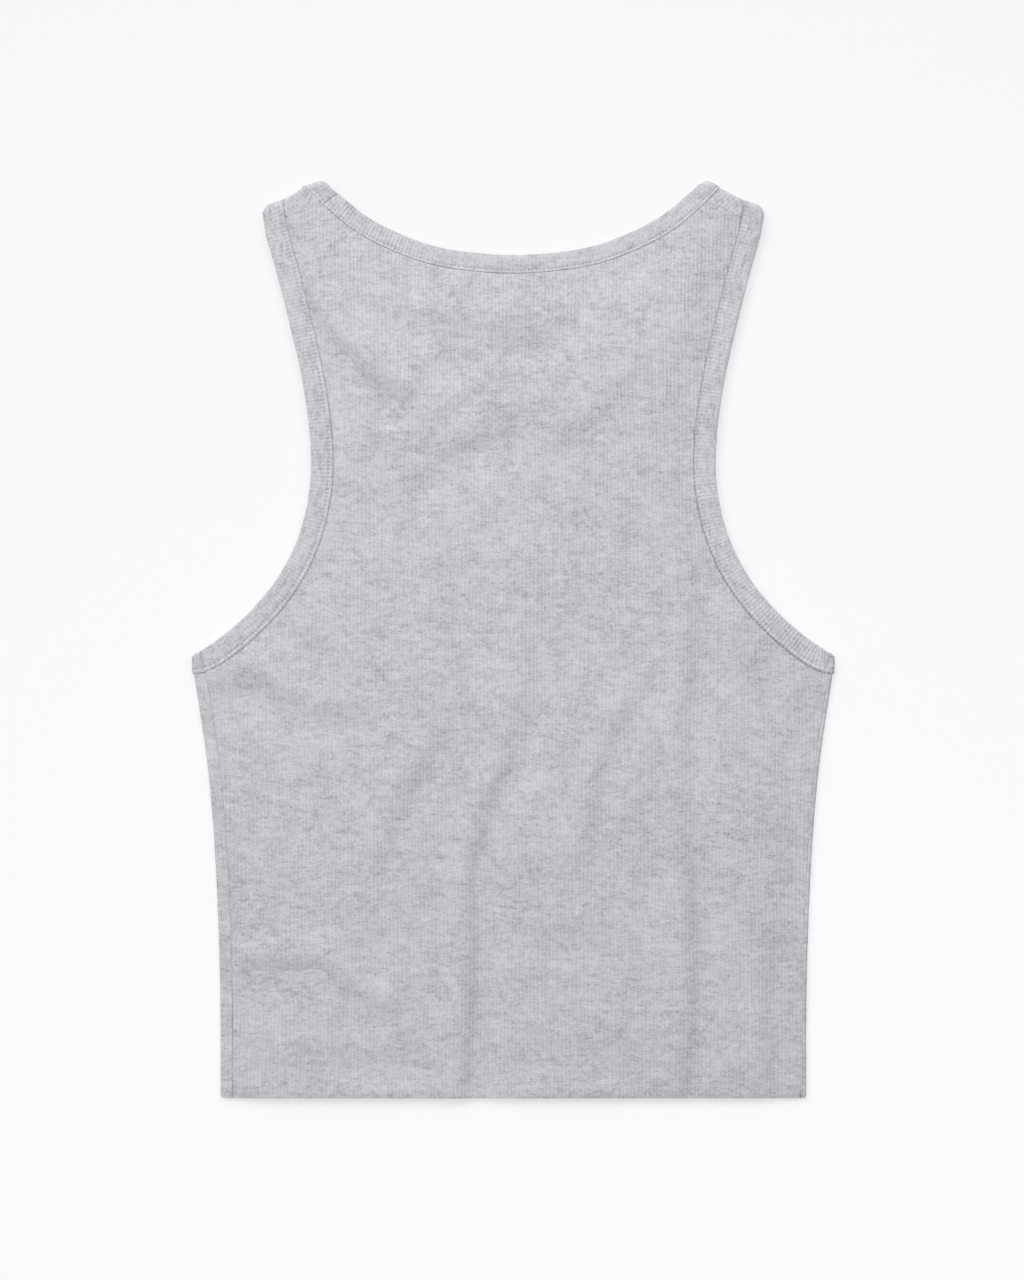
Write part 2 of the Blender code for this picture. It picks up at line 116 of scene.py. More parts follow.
NECK_FRONT = table(
    "half up",
    (0.0, 356.5),
    (24.0, 358.5),
    (48.0, 366.5),
    (72.0, 385.5),
    (88.0, 412.0),
    (97.0, 440.0),
    (101.8, 462.0),
    (103.6, 479.1),
    (103.8, 484.0),
)
LENGTH = 480.0
HEM_CORNER = 1.6
CORNER_STEPS = (0.0, 0.03, 0.12, 0.3, 0.6, 1.0)
FRONT_SCOOP = 4.0
SHOULDER_POINT = (110.4, 475.8)
SHOULDER_SLOPE = -0.486
SHOULDER_SEAM_INSET = 9.2
SIDE_SEAM_INSET = {"left": 6.6, "right": 2.3}
LAYER_GAP = 0.3
SEAM_GAP = 0.04
FOLD_GAP = 0.12

# How the back layer comes down beside a binding that lies under it
PAST_NECK, PAST_ARM = 1.7, 1.2
PANEL_SLOPE, SCOOP_SLOPE, ARM_SLOPE = 16.0, 30.0, 14.0
SCOOP_SAG = 0.7  # the share of the way down that the back layer sags over the front's open neck

# Soft creases across the back, in cloth that is otherwise a little slack but tight at its edges. Each is a
# trough along its line, with a step up to the line's right-hand side. A negative trough is a ridge. The bow
# is how far the line's middle stands out to that side.
SLACK, TIGHT_EDGE, SLACK_SLOPE = 1.7, 1.0, 20.0
CREASES_FROM = 5.0  # how far in from an edge the creases reach their full size
LOWEST_SLACK = 0.05
HEM_DROP, HEM_SLOPE = 0.15, 9.0
NECK_LIFT, NECK_LIFT_WIDTH = 0.3, 7.0  # how the back panel stands up beside the neck binding
CREASES = table(
    "x0 up0 x1 up1 bow spread trough step",
    (-55, 361, -118, 427, -3, 9.5, -0.9, 4.2),
    (20, 394, -50, 406, 4, 8.0, 0.1, 1.3),
    (4, 358, -56, 317, 3, 10.0, 0.1, 1.6),
    (67, 383, 22, 344, -3, 9.0, 0.1, 1.5),
    (-66, 350, -65, 292, 1, 8.0, 0.0, -1.7),
    (-7, 383, -60, 354, 4, 8.0, 0.0, -1.5),
    (24, 387, -7, 383, 0, 8.0, 0.0, -1.2),
    (46, 423, 24, 387, -2, 8.0, 0.0, -1.3),
    (60, 322, 52, 262, -3, 8.0, 0.1, 0.7),
    (-34, 196, -73, 110, 4, 9.0, 0.3, 1.5),
    (12, 243, -8, 160, -3, 9.0, 0.2, 1.5),
    (-5, 172, -21, 112, 3, 9.0, 0.4, 1.9),
    (-21, 120, -25, -4, -2, 9.5, 0.5, 3.1),
    (67, 214, 45, 168, 3, 8.5, 0.2, 1.8),
    (45, 172, 34, 122, -2, 8.0, 0.1, 1.4),
    (92, 286, 92, 210, -3, 9.0, 0.1, 1.2),
    (92, 219, 94, 112, 3, 8.5, 0.1, 1.5),
    (94, 116, 91, 4, -2, 9.0, 0.4, 2.6),
    (119, 160, 117, 60, 0, 12.0, -0.8, 0.0),
    (-84, 200, -134, 214, -3, 9.0, 0.3, 1.8),
    (-124, 216, -172, 231, -1, 10.0, -0.3, 3.9),
    (-98, 68, -162, 71, -3, 11.0, 0.2, 4.2),
    (-62, 44, -104, 69, -2, 8.0, 0.2, 2.4),
    (60, 8, -140, 8, 0, 8.0, 0.0, -1.1),
    (50, 82, 12, 86, 2, 9.0, 0.2, 1.4),
    (124, 252, 150, 140, 4, 9.0, 0.2, 1.4),
    (134, 76, 136, 2, 2, 9.0, 0.1, 1.2),
    (148, 258, 162, 216, 2, 8.0, 0.1, 1.1),
    (-112, 172, -122, 100, 3, 7.0, 0.1, 0.7),
    (-134, 182, -140, 108, -2, 8.0, 0.2, 0.5),
    (-92, 262, -120, 300, 4, 7.0, 0.1, 0.7),
    (30, 262, 18, 196, 2, 6.0, 0.0, 0.5),
    (-14, 308, -36, 268, -2, 7.0, 0.0, 0.7),
    (-58, 90, -60, 20, 2, 7.0, 0.0, 0.5),
    (64, 116, 58, 34, -2, 7.0, 0.0, 0.7),
    (-58, 454, -104, 436, -2, 7.0, 0.0, 0.5),
    (60, 420, 34, 452, 3, 8.0, -0.4, 0.0),
    (100, 420, 88, 330, -3, 8.0, 0.1, 0.3),
)

# Where the back stands up beside an armhole's seam
SEAM_LIFTS = table("x up reach lift", (-156, 222, 8.0, 1.1), (-106, 425, 8.0, 0.4))

# Shallower creases in the front panel's face underneath
UNDER_CREASES = table(
    "x0 up0 x1 up1 bow spread trough step",
    (-96, 402, -70, 300, 2, 7, 0.2, 0.0),
    (88, 385, 62, 290, -2, 8, 0.25, 0.0),
    (-40, 330, 30, 300, 3, 9, 0.2, 0.0),
    (-20, 235, 18, 120, -3, 8, 0.3, 0.0),
    (18, 120, 24, 0, 1, 8, 0.3, 0.0),
    (-84, 215, -52, 90, 4, 9, 0.25, 0.0),
    (70, 190, 96, 40, -3, 9, 0.2, 0.0),
    (158, 222, 96, 196, 2, 7, 0.25, 0.0),
    (-150, 205, -118, 130, 0, 8, 0.2, 0.0),
)

# How the ribs stray from straight lines: waves of this size, with these lengths along and across
STRAYING = table(
    "size along across start",
    (0.55, 43.0, 71.0, 0.4),
    (0.30, 17.0, -31.0, 1.9),
    (0.18, 9.0, 19.0, 4.0),
)

# How unevenly the ribs stand out, in the same way
UNEVEN_RIBS = table(
    "size along across start",
    (0.25, 9.0, 5.3, 1.0),
    (0.25, -14.0, 3.1, 2.2),
    (0.20, 31.0, -17.0, 0.3),
)
LEAST_STRENGTH = 0.2
AT_SHOULDER, AT_SHOULDER_WIDTH = 0.6, 5.0  # the ribs stand out more just below a shoulder seam
ABOVE, ABOVE_FROM, ABOVE_TO = 0.5, 300.0, 370.0  # the ribs stand out more toward the neck

# Mesh spacing
COLUMNS_PER_RIB = 4
COURSE_STEP = 6.0
OUTLINE_STEP = 1.2
PLAIN_STEP = 10.0
EDGE_RADIUS = 0.28
EDGE_LINES = (0.07, 0.16, 0.3)
KEPT_INSET = 0.7  # the share of their inset below which points of the rolled edge's lines are left out
STEP_SHARE = 1.45  # a crease's step then rises 0.62 of its size on one side and sinks as far on the other
FOLD_SEGMENTS = 8
RIBS_FROM = 0.3  # the share of a fold's turn after which ribs stand out on it
FADE_AT_FOLD = 2.5
TURNED = 1e-6  # how far past a fold's axis cloth counts as turned
CLEAR_OF_FOLD = 0.2
SHOULDER_REACH, SHOULDER_MARKS = 28.0, 8  # how far a shoulder's fold lines run, and in how many points
BEYOND = 10.0  # how far lines run past the outline
MERGE = 0.02  # points that lie closer than this become one
CHUNK = 8000  # how many points are handled at once


# What a user can change


class TANKTOP_PG_cloth(bpy.types.PropertyGroup):
    thickness: bpy.props.FloatProperty(
        name="Thickness",
        description="Thickness of a panel without its ribs, in mm",
        default=1.2,
        min=0.6,
        max=2.0,
    )
    rib_pitch: bpy.props.FloatProperty(
        name="Rib pitch",
        description="Distance from one rib to the next, in mm",
        default=2.0,
        min=1.0,
        max=6.0,
    )
    rib_height: bpy.props.FloatProperty(
        name="Rib height",
        description="Height of the panels' ribs, in mm",
        default=0.19,
        min=0.0,
        max=0.8,
    )
    light_yarn: bpy.props.FloatVectorProperty(
        name="Light yarn",
        description="Colour of the pale fibres",
        subtype="COLOR",
        default=(0.66, 0.642, 0.681),
    )
    dark_yarn: bpy.props.FloatVectorProperty(
        name="Dark yarn",
        description="Colour of the dark heather fibres",
        subtype="COLOR",
        default=(0.343, 0.338, 0.362),
    )


class TANKTOP_PG_binding(bpy.types.PropertyGroup):
    thickness: bpy.props.FloatProperty(
        name="Thickness",
        description="Thickness of a folded and sewn binding, in mm",
        default=2.0,
        min=1.0,
        max=2.3,
    )
    neck_width: bpy.props.FloatProperty(
        name="Neck width",
        description="Width of the neck binding, in mm",
        default=9.6,
        min=8.0,
        max=10.0,
    )
    arm_width: bpy.props.FloatProperty(
        name="Armhole width",
        description="Width of the armhole bindings, in mm",
        default=11.6,
        min=8.0,
        max=12.0,
    )
    rib_height: bpy.props.FloatProperty(
        name="Rib height",
        description="Height of the ribs across a binding, in mm",
        default=0.24,
        min=0.0,
        max=0.5,
    )
    stitch_length: bpy.props.FloatProperty(
        name="Stitch length",
        description="Length of one stitch that shows, in mm",
        default=1.4,
        min=0.6,
        max=1.8,
    )
    thread: bpy.props.FloatVectorProperty(
        name="Thread",
        description="Colour of the sewing thread",
        subtype="COLOR",
        default=(0.66, 0.65, 0.68),
    )


class TANKTOP_PG_stage(bpy.types.PropertyGroup):
    floor_colour: bpy.props.FloatVectorProperty(
        name="Floor colour",
        description="Colour of the floor",
        subtype="COLOR",
        default=(0.91, 0.91, 0.91),
    )
    sky_strength: bpy.props.FloatProperty(
        name="Sky",
        description="Strength of the even light from all round",
        default=0.4,
        min=0.0,
    )
    key_strength: bpy.props.FloatProperty(
        name="Key lights",
        description="Power of the two large soft lights",
        default=30.0,
        min=0.0,
        subtype="POWER",
    )
    fill_strength: bpy.props.FloatProperty(
        name="Fill light",
        description="Power of the light that casts no shadow",
        default=64.2,
        min=0.0,
        subtype="POWER",
    )


def settings():
    """What is set for the cloth, the bindings and the stage."""
    scene = bpy.context.scene
    return scene.tank_top_cloth, scene.tank_top_binding, scene.tank_top_stage


# Curves in the plane


def smooth_step(value):
    value = np.clip(value, 0.0, 1.0)
    return value * value * (3.0 - 2.0 * value)


def hermite(knots, values, at):
    """A smooth curve through values at the knots."""
    slope = np.gradient(values, knots)
    i = np.clip(np.searchsorted(knots, at, side="right") - 1, 0, len(knots) - 2)
    span = knots[i + 1] - knots[i]
    q = (at - knots[i]) / span
    start = (1 + 2 * q) * (1 - q) ** 2 * values[i] + q * (1 - q) ** 2 * span * slope[i]
    end = q**2 * (3 - 2 * q) * values[i + 1] + q**2 * (q - 1) * span * slope[i + 1]
    return start + end


def lengths(path):
    """The distance along the path to each of its points."""
    steps = np.linalg.norm(np.diff(path, axis=0), axis=1)
    return np.concatenate([[0.0], np.cumsum(steps)])


def at_distances(path, at):
    along = lengths(path)
    return np.stack([np.interp(at, along, axis) for axis in path.T], axis=1)


def resample(path, step, multiple=1):
    """The path with even steps, whose number is a multiple of the given one."""
    total = lengths(path)[-1]
    count = max(1, round(total / step / multiple)) * multiple
    return at_distances(path, np.linspace(0.0, total, count + 1))


def smooth_path(x, y, step=0.5):
    knots = lengths(np.stack([x, y], axis=1))
    at = np.linspace(0.0, knots[-1], int(knots[-1] / step) + 1)
    return np.stack([hermite(knots, x, at), hermite(knots, y, at)], axis=1)


def directions(path):
    ahead = np.gradient(path, axis=0)
    return ahead / np.hypot(*ahead.T)[:, None]


def offset(path, distance):
    """The path moved to the right of its own direction."""
    ahead = directions(path)
    return path + distance * np.stack([ahead[:, 1], -ahead[:, 0]], axis=1)


def mirrored(path):
    """The mirror image in the centre line, run the other way."""
    return path[::-1] * np.array([-1.0, 1.0])


def both_halves(half):
    """A left-to-right path from a right half that starts on the centre line."""
    x = np.concatenate([-half["half"][:0:-1], half["half"]])
    y = np.concatenate([half["up"][:0:-1], half["up"]])
    return smooth_path(x, y)


def clip(path, inside):
    """The stretch of the path where inside(points) is positive, cut exactly where it becomes zero."""
    value = inside(path)
    kept = np.flatnonzero(value > 0)
    first, last = kept[0], kept[-1]
    points = [path[first : last + 1]]
    if first > 0:
        share = value[first] / (value[first] - value[first - 1])
        points.insert(0, (path[first] + share * (path[first - 1] - path[first]))[None])
    if last < len(path) - 1:
        share = value[last] / (value[last] - value[last + 1])
        points.append((path[last] + share * (path[last + 1] - path[last]))[None])
    return np.concatenate(points)


def signed_distance(path, points, step=2.5):
    """The distance of each point to the path, positive on the path's right."""
    path = resample(path, step)
    start, ahead = path[:-1], np.diff(path, axis=0)
    size = (ahead**2).sum(1)
    found = []
    for k in range(0, len(points), CHUNK):
        away_x = points[k : k + CHUNK, :1] - start[:, 0]
        away_y = points[k : k + CHUNK, 1:] - start[:, 1]
        share = np.clip((away_x * ahead[:, 0] + away_y * ahead[:, 1]) / size, 0.0, 1.0)
        away_x -= share * ahead[:, 0]
        away_y -= share * ahead[:, 1]
        nearest = (away_x**2 + away_y**2).argmin(1)
        here = np.arange(len(nearest))
        away_x, away_y = away_x[here, nearest], away_y[here, nearest]
        side = ahead[nearest, 1] * away_x - ahead[nearest, 0] * away_y
        found.append(np.hypot(away_x, away_y) * np.where(side < 0.0, -1.0, 1.0))
    return np.concatenate(found)


def side_line(up):
    return hermite(SIDE["up"], SIDE["half"], np.clip(up, 0.0, SIDE["up"][-1]))


def side_half(up):
    """Where the cloth turns over at the side, rounded off at the hem."""
    below = np.clip(1.0 - up / HEM_CORNER, 0.0, 1.0)
    return side_line(up) - HEM_CORNER * (1.0 - np.sqrt(1.0 - below**2))


ARM_RIGHT = smooth_path(ARMHOLE["half"], ARMHOLE["up"])
ARM_LEFT = mirrored(ARM_RIGHT)
NECK = both_halves(NECK_BACK)
NECK_UNDER = both_halves(NECK_FRONT)
ARM_SHARE = lengths(ARM_RIGHT) / lengths(ARM_RIGHT)[-1]
ARM_AHEAD = directions(ARM_RIGHT)
ARM_INWARD = np.stack([ARM_AHEAD[:, 1], -ARM_AHEAD[:, 0]], axis=1)
ARM_UNDER_RIGHT = ARM_RIGHT + FRONT_SCOOP * np.sin(math.pi * ARM_SHARE)[:, None] ** 2 * ARM_INWARD
ARM_UNDER_LEFT = mirrored(ARM_UNDER_RIGHT)


# Heights


def over_panel():
    return settings()[0].thickness + LAYER_GAP


def over_binding():
    return settings()[1].thickness + LAYER_GAP


def bed(points):
    """How high the back layer's lower side lies over what is beneath it."""
    binding = settings()[1]
    over_neck = signed_distance(NECK_UNDER, points)
    beside = np.maximum(0.0, np.abs(over_neck) - binding.neck_width / 2 - PAST_NECK)
    arms = np.minimum(np.abs(signed_distance(ARM_RIGHT, points)), np.abs(signed_distance(ARM_LEFT, points)))
    arm_rise = 1.0 - smooth_step((arms - binding.arm_width / 2 - FRONT_SCOOP - PAST_ARM) / ARM_SLOPE)
    neck_rise = 1.0 - smooth_step(beside / PANEL_SLOPE)
    on_panel = over_panel() + (over_binding() - over_panel()) * np.maximum(arm_rise, neck_rise)
    in_scoop = over_binding() * (1.0 - SCOOP_SAG * smooth_step(beside / SCOOP_SLOPE))
    return np.where(over_neck > 0, on_panel, in_scoop)


def creased(points, creases):
    """The height that all the creases add."""
    height = np.zeros(len(points))
    for x0, up0, x1, up1, bow, spread, trough, step in zip(*creases.values()):
        run = np.array([x1 - x0, up1 - up0])
        size = np.hypot(*run)
        run /= size
        away = points - np.array([x0, up0])
        along = away @ run / size
        beside = away @ np.array([run[1], -run[0]]) - bow * 4 * along * (1.0 - along)
        beside /= spread
        first = smooth_step(0.5 + along * size / spread / 2)
        last = smooth_step(0.5 + (1.0 - along) * size / spread / 2)
        height += first * last * (step * STEP_SHARE * beside - trough) * np.exp(-(beside**2))
    return height


def slack(points):
    """How far the back panel stands off its bed, with its creases."""
    binding = settings()[1]
    edges = [side_line(points[:, 1]) - np.abs(points[:, 0]) - max(SIDE_SEAM_INSET.values())]
    for line, width in (
        (ARM_RIGHT, binding.arm_width),
        (ARM_LEFT, binding.arm_width),
        (NECK, binding.neck_width),
    ):
        edges.append(np.abs(signed_distance(line, points)) - width / 2)
    edge = np.min(edges, axis=0)
    height = SLACK * smooth_step((edge - TIGHT_EDGE) / SLACK_SLOPE) + creased(points, CREASES)
    height -= HEM_DROP * (1.0 - smooth_step(points[:, 1] / HEM_SLOPE))
    height = (height + np.sqrt(height**2 + LOWEST_SLACK)) / 2
    lifted = NECK_LIFT * (1.0 - smooth_step(edges[-1] / NECK_LIFT_WIDTH))
    for x, up, reach, lift in zip(*SEAM_LIFTS.values()):
        lifted += lift * np.exp(-(((points[:, 0] - x) ** 2 + (points[:, 1] - up) ** 2) / reach**2))
    return height * smooth_step(edge / CREASES_FROM) + lifted


def straying(points):
    """How far sideways the rib through each point has strayed."""
    shift = np.zeros(len(points))
    for size, along, across, start in zip(*STRAYING.values()):
        shift += size * np.sin(points[:, 1] / along + points[:, 0] / across + start)
    return shift


def strayed(points):
    return points + np.column_stack([straying(points), np.zeros(len(points))])


def rib_place(points):
    """Each point's distance across the ribs, as in cloth whose ribs are straight."""
    straight = points - np.column_stack([straying(points), np.zeros(len(points))])
    return points[:, 0] - straying(straight)


def ribs(across, height):
    """Rounded ribs, highest at each whole pitch."""
    return height * (0.5 + 0.5 * np.cos(2 * math.pi * across / settings()[0].rib_pitch))


def rib_strength(points):
    """How much the back's ribs stand out, unevenly, and most just below the shoulder seams."""
    strength = np.ones(len(points))
    for size, along, across, start in zip(*UNEVEN_RIBS.values()):
        strength += size * np.sin(points[:, 1] / along + points[:, 0] / across + start)
    seam = np.minimum(np.abs(SHOULDERS["left"].seam(points)), np.abs(SHOULDERS["right"].seam(points)))
    above = smooth_step((points[:, 1] - ABOVE_FROM) / (ABOVE_TO - ABOVE_FROM))
    strength = np.maximum(strength, LEAST_STRENGTH) * (1.0 + ABOVE * above)
    return strength * (1.0 + AT_SHOULDER * np.exp(-((seam / AT_SHOULDER_WIDTH) ** 2)))


def rolled(edge):
    """How far a rounded edge has come down, at this distance from the cut."""
    share = np.clip(1.0 - edge / EDGE_RADIUS, 0.0, 1.0)
    return EDGE_RADIUS * (1.0 - np.sqrt(1.0 - share**2))


# How far each shoulder's fold stands out from its straight line, from beside the neck to beside the arm
FOLD_SHAPES = {
    -1: table(
        "along rise",
        (-14.0, 0.0),
        (-9.4, 0.6),
        (-5.4, 1.1),
        (-1.3, 1.7),
        (1.6, 1.1),
        (4.0, 0.5),
        (8.6, 0.4),
        (13.8, 0.6),
        (19.0, 1.0),
        (24.0, 0.3),
    ),
    1: table(
        "along rise",
        (-14.0, 0.0),
        (-9.3, 0.6),
        (-5.0, 0.8),
        (-2.3, 0.3),
        (0.5, 0.0),
        (11.0, 0.0),
        (15.0, 0.4),
        (19.0, 0.7),
        (24.0, 0.0),
    ),
}

# Folds. Each has an axis line, a direction out of the cloth, and the radius that the layers' heights leave.
# Near a fold a binding's free edge moves back by the fold's corner, and round the turn by its tip as well.
SHOULDER_CORNER, SIDE_CORNER, SIDE_TIP = 2.2, 0.9, 2.2


class ShoulderFold:
    corner_length = 14.0

    def __init__(self, sign):
        self.shape = FOLD_SHAPES[sign]
        slope = np.array([1.0, SHOULDER_SLOPE])
        self.along = slope / np.hypot(*slope) * np.array([sign, 1.0])
        self.out = np.array([-SHOULDER_SLOPE, 1.0]) / np.hypot(*slope) * np.array([sign, 1.0])
        self.point = np.array(SHOULDER_POINT) * np.array([sign, 1.0])
        self.corner = SHOULDER_CORNER * self.out
        self.tip = np.zeros(2)

    def rise(self, points):
        along, rise = self.shape.values()
        return hermite(along, rise, np.clip((points - self.point) @ self.along, along[0], along[-1]))

    def beyond(self, points, thickness):
        """How far the points lie past the axis round which cloth of this thickness turns."""
        axis = (over_binding() + thickness) / 2
        return (points - self.point) @ self.out + axis

    def radius(self, points):
        return np.full(len(points), over_binding() / 2)

    def seam(self, points):
        """Positive on the back panel's side of the shoulder seam."""
        return -(points - self.point) @ self.out - SHOULDER_SEAM_INSET


class SideFold:
    corner_length = 6.0

    def __init__(self, sign):
        self.sign = sign
        self.along = np.array([0.0, 1.0])
        self.out = np.array([float(sign), 0.0])
        self.inset = SIDE_SEAM_INSET["right" if sign > 0 else "left"]
        self.corner = np.array([0.0, SIDE_CORNER])
        self.tip = np.array([0.0, SIDE_TIP])

    def rise(self, points):
        return np.zeros(points.shape[:-1])

    def radius(self, points):
        up = points[:, 1]
        return bed(np.stack([self.sign * (side_line(up) - self.inset), up], axis=1)) / 2

    def beyond(self, points, thickness):
        axis = side_half(points[:, 1]) - self.radius(points) - thickness / 2
        return self.sign * points[:, 0] - axis

    def seam(self, points):
        """Positive on the back panel's side of the side seam."""
        return side_line(points[:, 1]) - self.inset - self.sign * points[:, 0]


SHOULDERS = {"left": ShoulderFold(-1), "right": ShoulderFold(1)}
SIDES = {"left": SideFold(-1), "right": SideFold(1)}


def unfolded(fold, points):
    """Where points of the turned-over cloth lie when it is opened out past the fold."""
    inside = -fold.beyond(points, settings()[0].thickness)
    return points + (2 * inside + math.pi * fold.radius(points))[:, None] * fold.out


# Meshes


def add_mesh(name, points, faces, cloth, material):
    """An object in metres.

    Its cloth attribute holds each point's place in the flat cloth, and a pattern number.
    """
    mesh = bpy.data.meshes.new(name)
    placed = (np.asarray(points, float) + np.array([0.0, HEM, 0.0])) * MM
    mesh.from_pydata(placed.tolist(), [], faces)
    attribute = mesh.attributes.new("cloth", "FLOAT_VECTOR", "POINT")
    attribute.data.foreach_set("vector", np.asarray(cloth, np.float32).ravel())
    bm = bmesh.new()
    bm.from_mesh(mesh)
    bmesh.ops.recalc_face_normals(bm, faces=bm.faces)
    bm.to_mesh(mesh)
    bm.free()
    mesh.materials.append(material)
    mesh.shade_smooth()
    obj = bpy.data.objects.new(name, mesh)
    bpy.context.scene.collection.objects.link(obj)
    return obj


def cut_piece(outline, lines):
    """The flat piece inside the outline as points and triangles, with edges along the lines."""
    corners = [Vector(point) for point in outline]
    edges = []
    for line in lines:
        first = len(corners)
        corners.extend(Vector(point) for point in line)
        edges.extend((i, i + 1) for i in range(first, len(corners) - 1))
    face = list(range(len(outline)))
    points, _, faces, _, _, sources = delaunay_2d_cdt(corners, edges, [face], 0, MERGE, True)
    inside = np.array([face for face, source in zip(faces, sources) if source])
    used, faces = np.unique(inside, return_inverse=True)
    return np.array(points)[used], faces.reshape(inside.shape)


def rim(faces, start):
    """The piece's edge as a loop of point numbers from the start point."""
    sides = {(a, b) for face in faces.tolist() for a, b in zip(face, face[1:] + face[:1])}
    following = {a: b for a, b in sides if (b, a) not in sides}
    loop = [start]
    while following[loop[-1]] != start:
        loop.append(following[loop[-1]])
    return loop


def nearest(points, place):
    return int(np.hypot(*(points - place).T).argmin())


def joined_rims(outer, inner, outer_points, inner_points):
    """Triangles between two loops that run along the same outline with different points on it."""
    outer_at = lengths(outer_points[outer + outer[:1]])
    inner_at = lengths(inner_points[inner + inner[:1]])
    shift = len(outer_points)
    faces = []
    i = j = 0
    while i < len(outer) or j < len(inner):
        a, b = outer[i % len(outer)], shift + inner[j % len(inner)]
        if j == len(inner) or (i < len(outer) and outer_at[i + 1] <= inner_at[j + 1]):
            i += 1
            faces.append((a, b, outer[i % len(outer)]))
        else:
            j += 1
            faces.append((a, b, shift + inner[j % len(inner)]))
    return faces


def edge_lines(outline):
    """Lines just inside the outline, for the points of its rolled edge."""
    closed = np.concatenate([outline, outline[:1]])
    lines = []
    for inset in EDGE_LINES:
        line = offset(resample(closed, OUTLINE_STEP), -inset)
        lines.append(line[-signed_distance(closed, line, OUTLINE_STEP) > inset * KEPT_INSET])
    return lines


def add_wall(name, outline, fine_lines, plain_lines, place, pattern, material):
    """A cloth wall.

    Its outer face has the fine lines and a rolled edge, and its hidden inner face has the plain lines.
    """
    closed = np.concatenate([outline, outline[:1]])
    outer, outer_faces = cut_piece(outline, fine_lines + edge_lines(outline))
    inner, inner_faces = cut_piece(outline, plain_lines)
    outer_rim = rim(outer_faces, nearest(outer, outline[0]))
    inner_rim = rim(inner_faces, nearest(inner, outline[0]))
    faces = outer_faces.tolist() + (inner_faces[:, ::-1] + len(outer)).tolist()
    faces += joined_rims(outer_rim, inner_rim, outer, inner)
    inset = -signed_distance(closed, outer)
    inset[outer_rim] = 0.0
    outer_points = place(outer, 1.0, rolled(inset))
    inner_points = place(inner, 0.0, np.zeros(len(inner)))
    flat = np.concatenate([outer, inner])
    cloth = np.column_stack([rib_place(flat), flat[:, 1], np.full(len(flat), float(pattern))])
    return add_mesh(name, np.concatenate([outer_points, inner_points]), faces, cloth, material)


# Panels

SEAM_ROLL = 0.6  # the share of an edge's rounding that it has where two panels are sewn together
BLEND_HEIGHT, BLEND_WIDTH = 0.62, 3.5  # how the left shoulder's strip rises to its neck binding

# Where the left side seam lies more open
OPEN_SEAM = table("up reach more", (39.0, 13.0, 1.7), (6.0, 6.0, 1.5))


def upright(x, low=-BEYOND, high=LENGTH + BEYOND):
    return np.array([(x, low), (x, high)])


def level(up):
    half = SIDE["half"][-1] + BEYOND
    return np.array([(-half, up), (half, up)])


def rib_columns(keep=None):
    """Lines along the crests, flanks and troughs of the ribs, with a point on every few courses."""
    step = settings()[0].rib_pitch / COLUMNS_PER_RIB
    count = int(SIDE["half"][-1] / step)
    up = np.arange(-COURSE_STEP, LENGTH + 2 * COURSE_STEP, COURSE_STEP)
    lines = []
    for k in range(-count, count + 1):
        line = strayed(np.column_stack([np.full(len(up), k * step), up]))
        lines.append(line if keep is None else line[keep(line)])
    return [line for line in lines if len(line) > 1]


def plain_grid():
    wide = SIDE["half"][0]
    lines = [upright(x) for x in np.linspace(-wide, wide, round(2 * wide / PLAIN_STEP) + 1)]
    return lines + [level(up) for up in np.arange(PLAIN_STEP, LENGTH, 2 * PLAIN_STEP)]


def within(*folds):
    """Gives the measure of how far points lie inside the seams at two folds."""

    def inside(points):
        return np.minimum(*(fold.seam(points) for fold in folds)) - SEAM_GAP / 2

    return inside


below_seams = within(*SHOULDERS.values())


def edge_path(path, width, inside):
    """The panel's edge beside a binding, within the given limits."""
    return resample(clip(offset(path, width / 2 + SEAM_GAP), inside), OUTLINE_STEP)


def side_heights(top, step):
    """Heights along a side, closer together at the hem's rounded corner."""
    corner = HEM_CORNER * np.array(CORNER_STEPS)
    return np.concatenate([corner, np.linspace(HEM_CORNER, top, round(top / step) + 1)[1:]])


def side_seam(fold, top):
    up = side_heights(top, 2 * OUTLINE_STEP)
    return np.stack([fold.sign * (side_line(up) - fold.inset), up], axis=1)


def seam_roll(points):
    """How fully an edge is rounded where it is sewn to the other panel."""
    roll = np.full(len(points), SEAM_ROLL)
    for up, reach, more in zip(*OPEN_SEAM.values()):
        roll += more * np.exp(-(((points[:, 1] - up) / reach) ** 4)) * (points[:, 0] < 0.0)
    return roll


def place_back(points, depth, drop):
    cloth = settings()[0]
    seam = np.minimum(below_seams(points), np.minimum(*(fold.seam(points) for fold in SIDES.values())))
    drop = drop * np.where(seam < EDGE_RADIUS, seam_roll(points), 1.0)
    height = bed(points) + slack(points)
    raised = ribs(rib_place(points), cloth.rib_height) * rib_strength(points)
    height += depth * (cloth.thickness + raised) - drop
    return np.column_stack([points, height])


def back_outline():
    binding = settings()[1]
    limits = {side: within(SHOULDERS[side], SIDES[side]) for side in SIDES}
    right = edge_path(ARM_RIGHT, binding.arm_width, limits["right"])[::-1]
    left = edge_path(ARM_LEFT, binding.arm_width, limits["left"])[::-1]
    neck = edge_path(NECK, binding.neck_width, below_seams)[::-1]
    right_seam = side_seam(SIDES["right"], right[0][1])[:-1] - np.array([SEAM_GAP / 2, 0.0])
    left_seam = side_seam(SIDES["left"], left[-1][1])[:-1] + np.array([SEAM_GAP / 2, 0.0])
    return np.concatenate([right_seam, right, neck, left, left_seam[::-1]])


